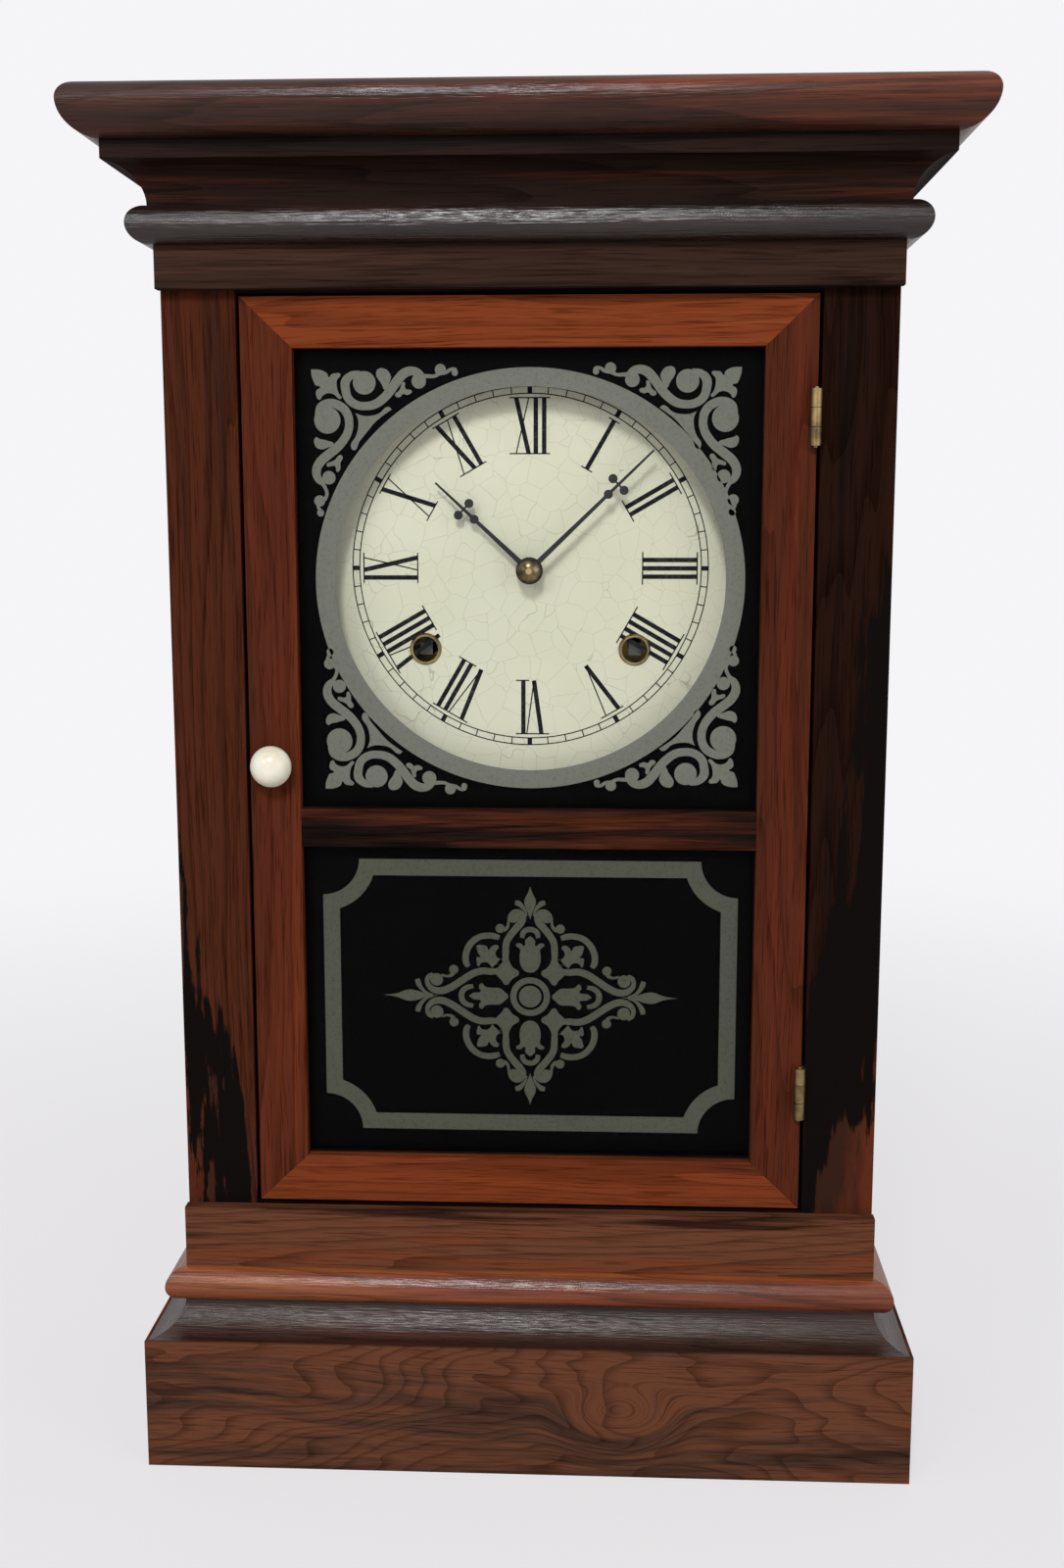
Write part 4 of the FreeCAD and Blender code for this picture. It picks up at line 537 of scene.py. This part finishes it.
def addTrack(shape):
    for radius in (track["outer"], track["inner"]):
        edge = radius - track["line"]
        addRing(shape, (0, 0), (radius, radius), (edge, edge), 128)
    inner, outer = track["inner"] - track["line"] / 2, track["outer"] - track["line"] / 2
    for minute in range(60):
        angle = math.radians(6 * minute)
        out = Vector((math.sin(angle), math.cos(angle)))
        width = track["line"] if minute % 5 else track["block"]
        addBar(shape, out * inner, out * outer, width)


# A numeral's strokes: top and foot along its width in millimetres, and whether the stroke is thick

five = [(-2.7, 0, True), (2.6, 0, False)]
ten = [(-2.2, 2.2, True), (2.2, -2.2, False)]
oneAdvance = 2.95


def ones(count, middle=0.0):
    start = middle - (count - 1) * oneAdvance / 2
    return [(start + k * oneAdvance, start + k * oneAdvance, True) for k in range(count)]


def moved(strokes, shift):
    return [(top + shift, foot + shift, thick) for top, foot, thick in strokes]


# Each numeral with the ends of its top serif line and of its foot serif line

numerals = {
    1: (ones(1), (-2.2, 2.2), (-2.2, 2.2)),
    2: (ones(2), (-4.3, 4.3), (-4.3, 4.3)),
    3: (ones(3), (-5.75, 5.75), (-5.75, 5.75)),
    4: (ones(4), (-7.5, 7.5), (-7.5, 7.5)),
    5: (five, (-4.6, 4.6), None),
    6: (moved(five, -1.5) + ones(1, 2.35), (-7.0, 5.0), (0.2, 5.0)),
    7: (moved(five, -3.0) + ones(2, 2.6), (-8.2, 6.2), (-0.9, 6.2)),
    8: (moved(five, -4.4) + ones(3, 2.7), (-9.3, 7.8), (-2.4, 7.8)),
    9: (ones(1, -3.4) + moved(ten, 1.5), (-5.4, 5.4), (-5.4, 5.4)),
    10: (ten, (-4.0, 4.0), (-4.0, 4.0)),
    11: (moved(ten, -1.5) + ones(1, 3.4), (-5.4, 5.4), (-5.4, 5.4)),
    12: (moved(ten, -2.6) + ones(2, 3.6), (-7.2, 7.2), (-7.2, 7.2)),
}


def addNumeral(shape, hour):
    strokes, topSerif, footSerif = numerals[hour]
    angle = math.radians(30 * hour)
    across, out = Vector((math.cos(angle), -math.sin(angle))), Vector((math.sin(angle), math.cos(angle)))
    inset = numeral["serif"] / 2

    def at(share, level):
        return across * share * mm + out * level

    for top, foot, thick in strokes:
        width = numeral["thick"] if thick else numeral["thin"]
        addBar(shape, at(foot, numeral["foot"] + inset), at(top, numeral["top"] - inset), width)
    for serif, level in ((topSerif, numeral["top"] - inset), (footSerif, numeral["foot"] + inset)):
        if serif:
            addBar(shape, at(serif[0], level), at(serif[1], level), numeral["serif"])


def printDial():
    shape = bmesh.new()
    addTrack(shape)
    for hour in numerals:
        addNumeral(shape, hour)
    upright(shape, dialCentre, dialFront - clearance)
    addPiece("dial_print", shape, "case", printBlack)


# Upper glass: black ground with an oval window, silver ring and four corner scrolls

oval = {"outer": (75.4 * mm, 73.4 * mm), "inner": (68.7 * mm, 66.9 * mm)}
ovalCentre = (0.4 * mm, arbor.z - 3.5 * mm)
silverGap, blackGap = 0.03 * mm, 0.09 * mm
groundMargin = 0.5 * mm
cornerTips = ((-75.3, 69.4), (73.3, 69.7), (-72.9, -77.6), (74.4, -76.0))


def addGround(shape, low, high, hole=None):
    centre, half = (low + high) / 2, (high - low) / 2
    size = Matrix.Diagonal((half.x - groundMargin, half.z - groundMargin, 1, 1))
    place = Matrix.Translation((centre.x, centre.z, 0)) @ size
    if hole is None:
        bmesh.ops.create_grid(shape, x_segments=1, y_segments=1, size=1, matrix=place)
        return
    turned = place @ Matrix.Rotation(math.pi / 4, 4, "Z")
    corners = bmesh.ops.create_circle(shape, segments=4, radius=math.sqrt(2), matrix=turned)["verts"]
    window = Matrix.Translation((*ovalCentre, 0)) @ Matrix.Diagonal((*hole, 1, 1))
    rim = bmesh.ops.create_circle(shape, segments=160, radius=1, matrix=window)["verts"]
    edges = {edge for vert in corners + rim for edge in vert.link_edges}
    bmesh.ops.triangle_fill(shape, edges=list(edges), use_beauty=True)


# The corner scroll, read in small steps across and down. Its leaf tip goes into the corner

cornerStep = 0.0486 * mm
cornerTip = (80, 155)
cornerLeaf = [(80, 155, tip), (150, 160), (195, 185), (207, 210), (225, 190), (250, 183), (290, 190),
              (265, 230), (262, 270), (275, 320), (293, 358), (230, 325), (185, 325), (155, 345),
              (138, 368), (112, 330), (118, 300), (143, 280), (110, 265), (95, 235), (83, 200)]
spandrel = [(393, 460, tip), (440, 478), (500, 480), (560, 465), (630, 418), (655, 435, tip),
            (540, 520), (470, 600), (420, 660), (380, 722), (357, 695), (395, 620), (413, 550), (410, 500)]
acrossArm = {
    "discs": [(460, 250, 82), (850, 240, 52), (1005, 160, 40), (1108, 183, 22)],
    "outlines": [
        [(548, 170), (590, 148), (650, 200), (640, 250), (612, 300), (585, 262)],
        [(745, 245), (755, 290), (800, 310), (770, 335), (735, 330), (715, 350), (680, 340), (712, 300)]],
    "strokes": [
        [(430, 172, 8), (372, 195, 26), (327, 240, 33), (326, 300, 31), (345, 360, 30), (400, 402, 29),
         (470, 412, 29), (540, 397, 31), (605, 350, 32), (650, 300, 33), (700, 232, 34), (752, 182, 34),
         (815, 170, 30), (862, 196, 26), (875, 225, 20)],
        [(870, 205, 16), (915, 205, 14), (962, 205, 12), (1000, 185, 14)],
        [(1010, 185, 14), (1045, 180, 12), (1078, 160, 12), (1110, 160, 12), (1120, 180, 10)]],
}
downArm = {
    "discs": [(190, 510, 95), (195, 915, 48), (125, 1080, 40), (130, 1165, 26)],
    "outlines": [
        [(105, 630), (100, 690), (140, 715), (190, 702), (235, 680), (190, 655), (130, 640)],
        [(180, 830), (240, 790), (280, 755), (297, 770), (280, 810), (275, 860), (255, 875), (240, 835)]],
    "strokes": [
        [(108, 470, 8), (140, 418, 26), (200, 392, 30), (270, 405, 31), (325, 450, 31), (347, 520, 30),
         (338, 590, 30), (305, 650, 31), (255, 705, 32), (190, 755, 33), (130, 810, 33), (105, 870, 32),
         (118, 925, 27), (150, 955, 20)],
        [(140, 945, 16), (165, 985, 13), (178, 1030, 12), (160, 1075, 14)],
        [(120, 1080, 14), (112, 1120, 11), (130, 1150, 12)]],
}


def addArt(shape, art, outlines=()):
    for x, y, radius in art["discs"]:
        addDisc(shape, (x, y), radius, 24)
    for line in [*art["outlines"], *outlines]:
        addCurve(shape, [line], True)
    addCurve(shape, art["strokes"], False)


def cornerShape():
    shape = bmesh.new()
    addArt(shape, acrossArm, (cornerLeaf, spandrel))
    addArt(shape, downArm)
    step = Matrix.Diagonal((cornerStep, -cornerStep, mm, 1))
    place = step @ Matrix.Translation((-cornerTip[0], -cornerTip[1], 0))
    bmesh.ops.transform(shape, matrix=place, verts=shape.verts)
    return shape


def addCopy(shape, source, place):
    mesh = bpy.data.meshes.new("copy")
    source.to_mesh(mesh)
    mesh.transform(place)
    shape.from_mesh(mesh)
    bpy.data.meshes.remove(mesh)


def paintDialGlass():
    shape = bmesh.new()
    addRing(shape, ovalCentre, oval["outer"], oval["inner"], 160)
    corner = cornerShape()
    for across, rise in cornerTips:
        place = Matrix.Translation((across * mm, arbor.z + rise * mm, 0))
        flip = Matrix.Diagonal((-math.copysign(1, across), math.copysign(1, rise), 1, 1))
        addCopy(shape, corner, place @ flip)
    corner.free()
    faceFront(shape)
    upright(shape, (0, 0), dialGlassHigh.y + silverGap)
    addPiece("dial_stencil", shape, "door", ringSilver)
    ground = bmesh.new()
    addGround(ground, dialGlassLow, dialGlassHigh, oval["inner"])
    faceFront(ground)
    upright(ground, (0, 0), dialGlassHigh.y + blackGap)
    addPiece("dial_glass_ground", ground, "door", glassBlack)


# Lower glass: black ground, a border with notched corners and a medallion

borderCentre = (0.4 * mm, arbor.z - 153.9 * mm)
borderHalf = (74.95 * mm, 50.8 * mm)
borderWide, notchRadius, notchSteps = 6.05 * mm, 13.3 * mm, 12


def notchedLoop(shape, inset):
    radius = notchRadius + inset
    first, last = math.asin(inset / radius), math.acos(inset / radius)
    loop = []
    for right, up, start, end in ((1, 1, last, first), (-1, 1, first, last), (-1, -1, last, first),
                                  (1, -1, first, last)):
        for step in range(notchSteps + 1):
            angle = start + (end - start) * step / notchSteps
            across = borderHalf[0] - radius * math.cos(angle)
            rise = borderHalf[1] - radius * math.sin(angle)
            loop.append(shape.verts.new((right * across, up * rise, 0)))
    return [shape.edges.new(pair) for pair in zip(loop, loop[1:] + loop[:1])]


# The medallion's left upper quarter, read in small steps to the left and up from its centre

medallionStep = 0.051 * mm
medallionCentre = (0.65 * mm, arbor.z - 153.75 * mm)
medallionHub = {"disc": 80, "ring": (142, 98)}
upTulip = [(0, 177), (45, 195), (72, 249), (75, 300), (71, 345), (101, 381), (70, 390), (40, 372),
           (34, 412), (0, 444, tip)]
upFinial = [(0, 804, tip), (14, 760), (38, 710), (40, 680), (25, 635), (8, 590), (0, 565, tip)]
upCrescent = [(57, 430, 15), (50, 465, 19), (28, 486, 19), (0, 492, 19)]
sideTulip = [(0, 157), (35, 185), (60, 219), (62, 275), (70, 320), (94, 349), (60, 366), (38, 352),
             (22, 409), (0, 439, tip)]
sideFinial = [(0, 1054, tip), (12, 960), (42, 870), (36, 820), (12, 740), (0, 655, tip)]
sideCrescent = [(73, 407, 15), (61, 454, 19), (34, 484, 20), (0, 492, 21)]
quarter = {
    "discs": [(119, 577, 38), (214, 497, 33), (669, 119, 46), (546, 194, 33)],
    "outlines": [
        [(199, 269), (224, 277), (244, 299), (244, 329), (224, 359), (232, 374), (259, 374), (284, 354),
         (294, 339), (309, 364), (339, 374), (379, 371), (379, 344), (367, 309), (354, 289), (379, 284),
         (381, 249), (367, 219), (354, 239), (329, 249), (299, 244), (279, 219), (262, 200), (215, 230)],
        [(174, 84), (128, 128), (79, 174), (125, 215), (145, 250), (160, 280), (210, 272), (240, 240),
         (270, 200), (245, 160), (205, 120)]],
    "strokes": [
        [(174, 264, 20), (174, 329, 24), (167, 399, 24), (139, 449, 25), (101, 497, 26), (64, 544, 27),
         (54, 579, 26), (69, 607, 24), (99, 619, 20), (129, 609, 14), (149, 579, 10), (154, 539, 9),
         (164, 504, 12), (190, 484, 16)],
        [(24, 589, 5), (34, 624, 9), (54, 654, 14), (84, 681, 20), (107, 686, 16)],
        [(229, 184, 20), (279, 181, 24), (339, 185, 25), (399, 169, 26), (454, 137, 26), (509, 99, 26),
         (569, 61, 26), (629, 37, 26), (679, 39, 24), (719, 64, 20), (737, 99, 16), (727, 139, 16),
         (694, 159, 14)],
        [(634, 154, 8), (589, 144, 9), (555, 160, 14), (546, 185, 14)],
        [(699, 7, 6), (739, 19, 9), (779, 54, 14), (801, 94, 20), (807, 121, 16)],
        [(219, 429, 18), (259, 441, 22), (309, 444, 22), (369, 429, 22), (419, 389, 23), (449, 339, 23),
         (461, 284, 23), (454, 239, 22), (439, 217, 16)]],
}


def bothSides(half):
    ends = 1 if half[-1][0] == 0 else 0
    start = 1 if half[0][0] == 0 else 0
    return half + [(-x, *rest) for x, *rest in reversed(half[start:len(half) - ends])]


def addAxisArt(shape, tulip, finial, crescent):
    addCurve(shape, [bothSides(tulip)], True)
    addCurve(shape, [bothSides(finial)], True)
    addCurve(shape, [crescent + [(-x, *rest) for x, *rest in reversed(crescent[:-1])]], False)


def medallionShape():
    shape = bmesh.new()
    centre, radii = (0, 0), medallionHub["ring"]
    addDisc(shape, centre, medallionHub["disc"], 48)
    addRing(shape, centre, (radii[0],) * 2, (radii[1],) * 2, 64)
    for turn, axisArt in ((0, (upTulip, upFinial, upCrescent)),
                          (math.pi / 2, (sideTulip, sideFinial, sideCrescent))):
        axis = bmesh.new()
        addAxisArt(axis, *axisArt)
        for half in (turn, turn + math.pi):
            addCopy(shape, axis, Matrix.Rotation(half, 4, "Z"))
        axis.free()
    part = bmesh.new()
    addArt(part, quarter)
    for across, up in ((1, 1), (-1, 1), (-1, -1), (1, -1)):
        addCopy(shape, part, Matrix.Diagonal((across, up, 1, 1)))
    part.free()
    size = Matrix.Diagonal((medallionStep, medallionStep, mm, 1))
    place = Matrix.Translation((*medallionCentre, 0)) @ size
    bmesh.ops.transform(shape, matrix=place, verts=shape.verts)
    return shape


def paintTabletGlass():
    border = bmesh.new()
    edges = notchedLoop(border, 0) + notchedLoop(border, borderWide)
    bmesh.ops.bridge_loops(border, edges=edges)
    bmesh.ops.translate(border, verts=border.verts, vec=(*borderCentre, 0))
    medallion = medallionShape()
    for name, shape in (("tablet_border", border), ("tablet_medallion", medallion)):
        faceFront(shape)
        upright(shape, (0, 0), tabletHigh.y + silverGap)
        addPiece(name, shape, "door", shadedBorderSilver)
    ground = bmesh.new()
    addGround(ground, tabletLow, tabletHigh)
    faceFront(ground)
    upright(ground, (0, 0), tabletHigh.y + blackGap)
    addPiece("tablet_ground", ground, "door", glassBlack)


# Camera, lamps, floor and background

view = {"lens": 39.65, "sensor": 36,
        "place": (0.0297, -0.63916, 0.34644), "tilt": 81.14, "turn": 2.668}
lamps = {
    "key": {"place": (-0.9, -1.5, 0.98), "target": (0, 0, 0.28), "size": 0.5, "power": 5},
    "top": {"place": (-0.15, -1.45, 1.35), "target": (0, 0, 0.25), "size": 0.36, "power": 15},
    "fill": {"place": (1.4, -1.2, 0.7), "target": (0, 0, 0.25), "size": 1.0, "power": 4.5},
}
floorLook = {"half": 6, "dark": (0.68, 0.665, 0.67), "pale": (0.72, 0.7, 0.705),
             "near": 0.15, "far": 1.2, "share": 0.68}
backTone = (0.915, 0.905, 0.925, 1)
lightTone, lightLevel = (1, 0.98, 0.97, 1), 0.46


def makeCamera():
    data = bpy.data.cameras.new("camera")
    data.sensor_fit = "VERTICAL"
    data.sensor_height = view["sensor"]
    data.lens = view["lens"]
    camera = bpy.data.objects.new("camera", data)
    camera.location = view["place"]
    camera.rotation_euler = (math.radians(view["tilt"]), 0, math.radians(view["turn"]))
    bpy.context.collection.objects.link(camera)
    bpy.context.scene.camera = camera


def makeLamps():
    for name, look in lamps.items():
        data = bpy.data.lights.new(name, "AREA")
        data.shape = "DISK"
        data.size = look["size"]
        data.energy = look["power"]
        lamp = bpy.data.objects.new(name, data)
        lamp.location = look["place"]
        aim = Vector(look["target"]) - Vector(look["place"])
        lamp.rotation_euler = aim.to_track_quat("-Z", "Y").to_euler()
        bpy.context.collection.objects.link(lamp)


def makeFloor():
    shape = bmesh.new()
    bmesh.ops.create_grid(shape, x_segments=1, y_segments=1, size=floorLook["half"])
    mesh = bpy.data.meshes.new("floor")
    shape.to_mesh(mesh)
    shape.free()
    floor = bpy.data.objects.new("floor", mesh)
    bpy.context.collection.objects.link(floor)
    material, tree, shader = newMaterial("floor", Roughness=0.9, Specular_IOR_Level=0.1)
    coords = objectCoords(tree)
    tint = ramp(tree, noise(tree, coords, 2, 2), [(0.3, floorLook["dark"]), (0.7, floorLook["pale"])])
    tree.links.new(tint, shader.inputs["Base Color"])
    glow = addNode(tree, "Emission", {"Color": backTone, "Strength": 1})
    away = addNode(tree, "VectorMath", {0: coords}, operation="LENGTH").outputs["Value"]
    inputs = {"Value": away, "From Min": floorLook["near"], "From Max": floorLook["far"],
              "To Min": floorLook["share"], "To Max": 1}
    share = addNode(tree, "MapRange", inputs, interpolation_type="SMOOTHSTEP").outputs[0]
    seen = math2(tree, "MULTIPLY", addNode(tree, "LightPath").outputs["Is Camera Ray"], share)
    blend = addNode(tree, "MixShader", {0: seen, 1: shader.outputs[0], 2: glow.outputs[0]})
    tree.links.new(blend.outputs[0], tree.nodes["Material Output"].inputs[0])
    mesh.materials.append(material)


def makeWorld():
    world = bpy.context.scene.world or bpy.data.worlds.new("world")
    bpy.context.scene.world = world
    world.use_nodes = True
    tree = world.node_tree
    tree.nodes.clear()
    rays = addNode(tree, "LightPath")
    seen = math2(tree, "MAXIMUM", rays.outputs["Is Camera Ray"], rays.outputs["Is Glossy Ray"])
    seen = math2(tree, "MAXIMUM", seen, rays.outputs["Is Transmission Ray"])
    light = addNode(tree, "Background", {"Color": lightTone, "Strength": lightLevel})
    back = addNode(tree, "Background", {"Color": backTone, "Strength": 1})
    blend = addNode(tree, "MixShader", {0: seen, 1: light.outputs[0], 2: back.outputs[0]})
    result = addNode(tree, "OutputWorld")
    tree.links.new(blend.outputs[0], result.inputs[0])


# Everything is made here

dressWoods()
dressMetals()
dressDial()
dressBone()
dressGlass()
print("materials set")
printDial()
paintDialGlass()
paintTabletGlass()
print("dial and glass painted")
makeCamera()
makeLamps()
makeFloor()
makeWorld()
print("camera, lamps, floor and world set")
bpy.context.scene.view_settings.view_transform = "Standard"
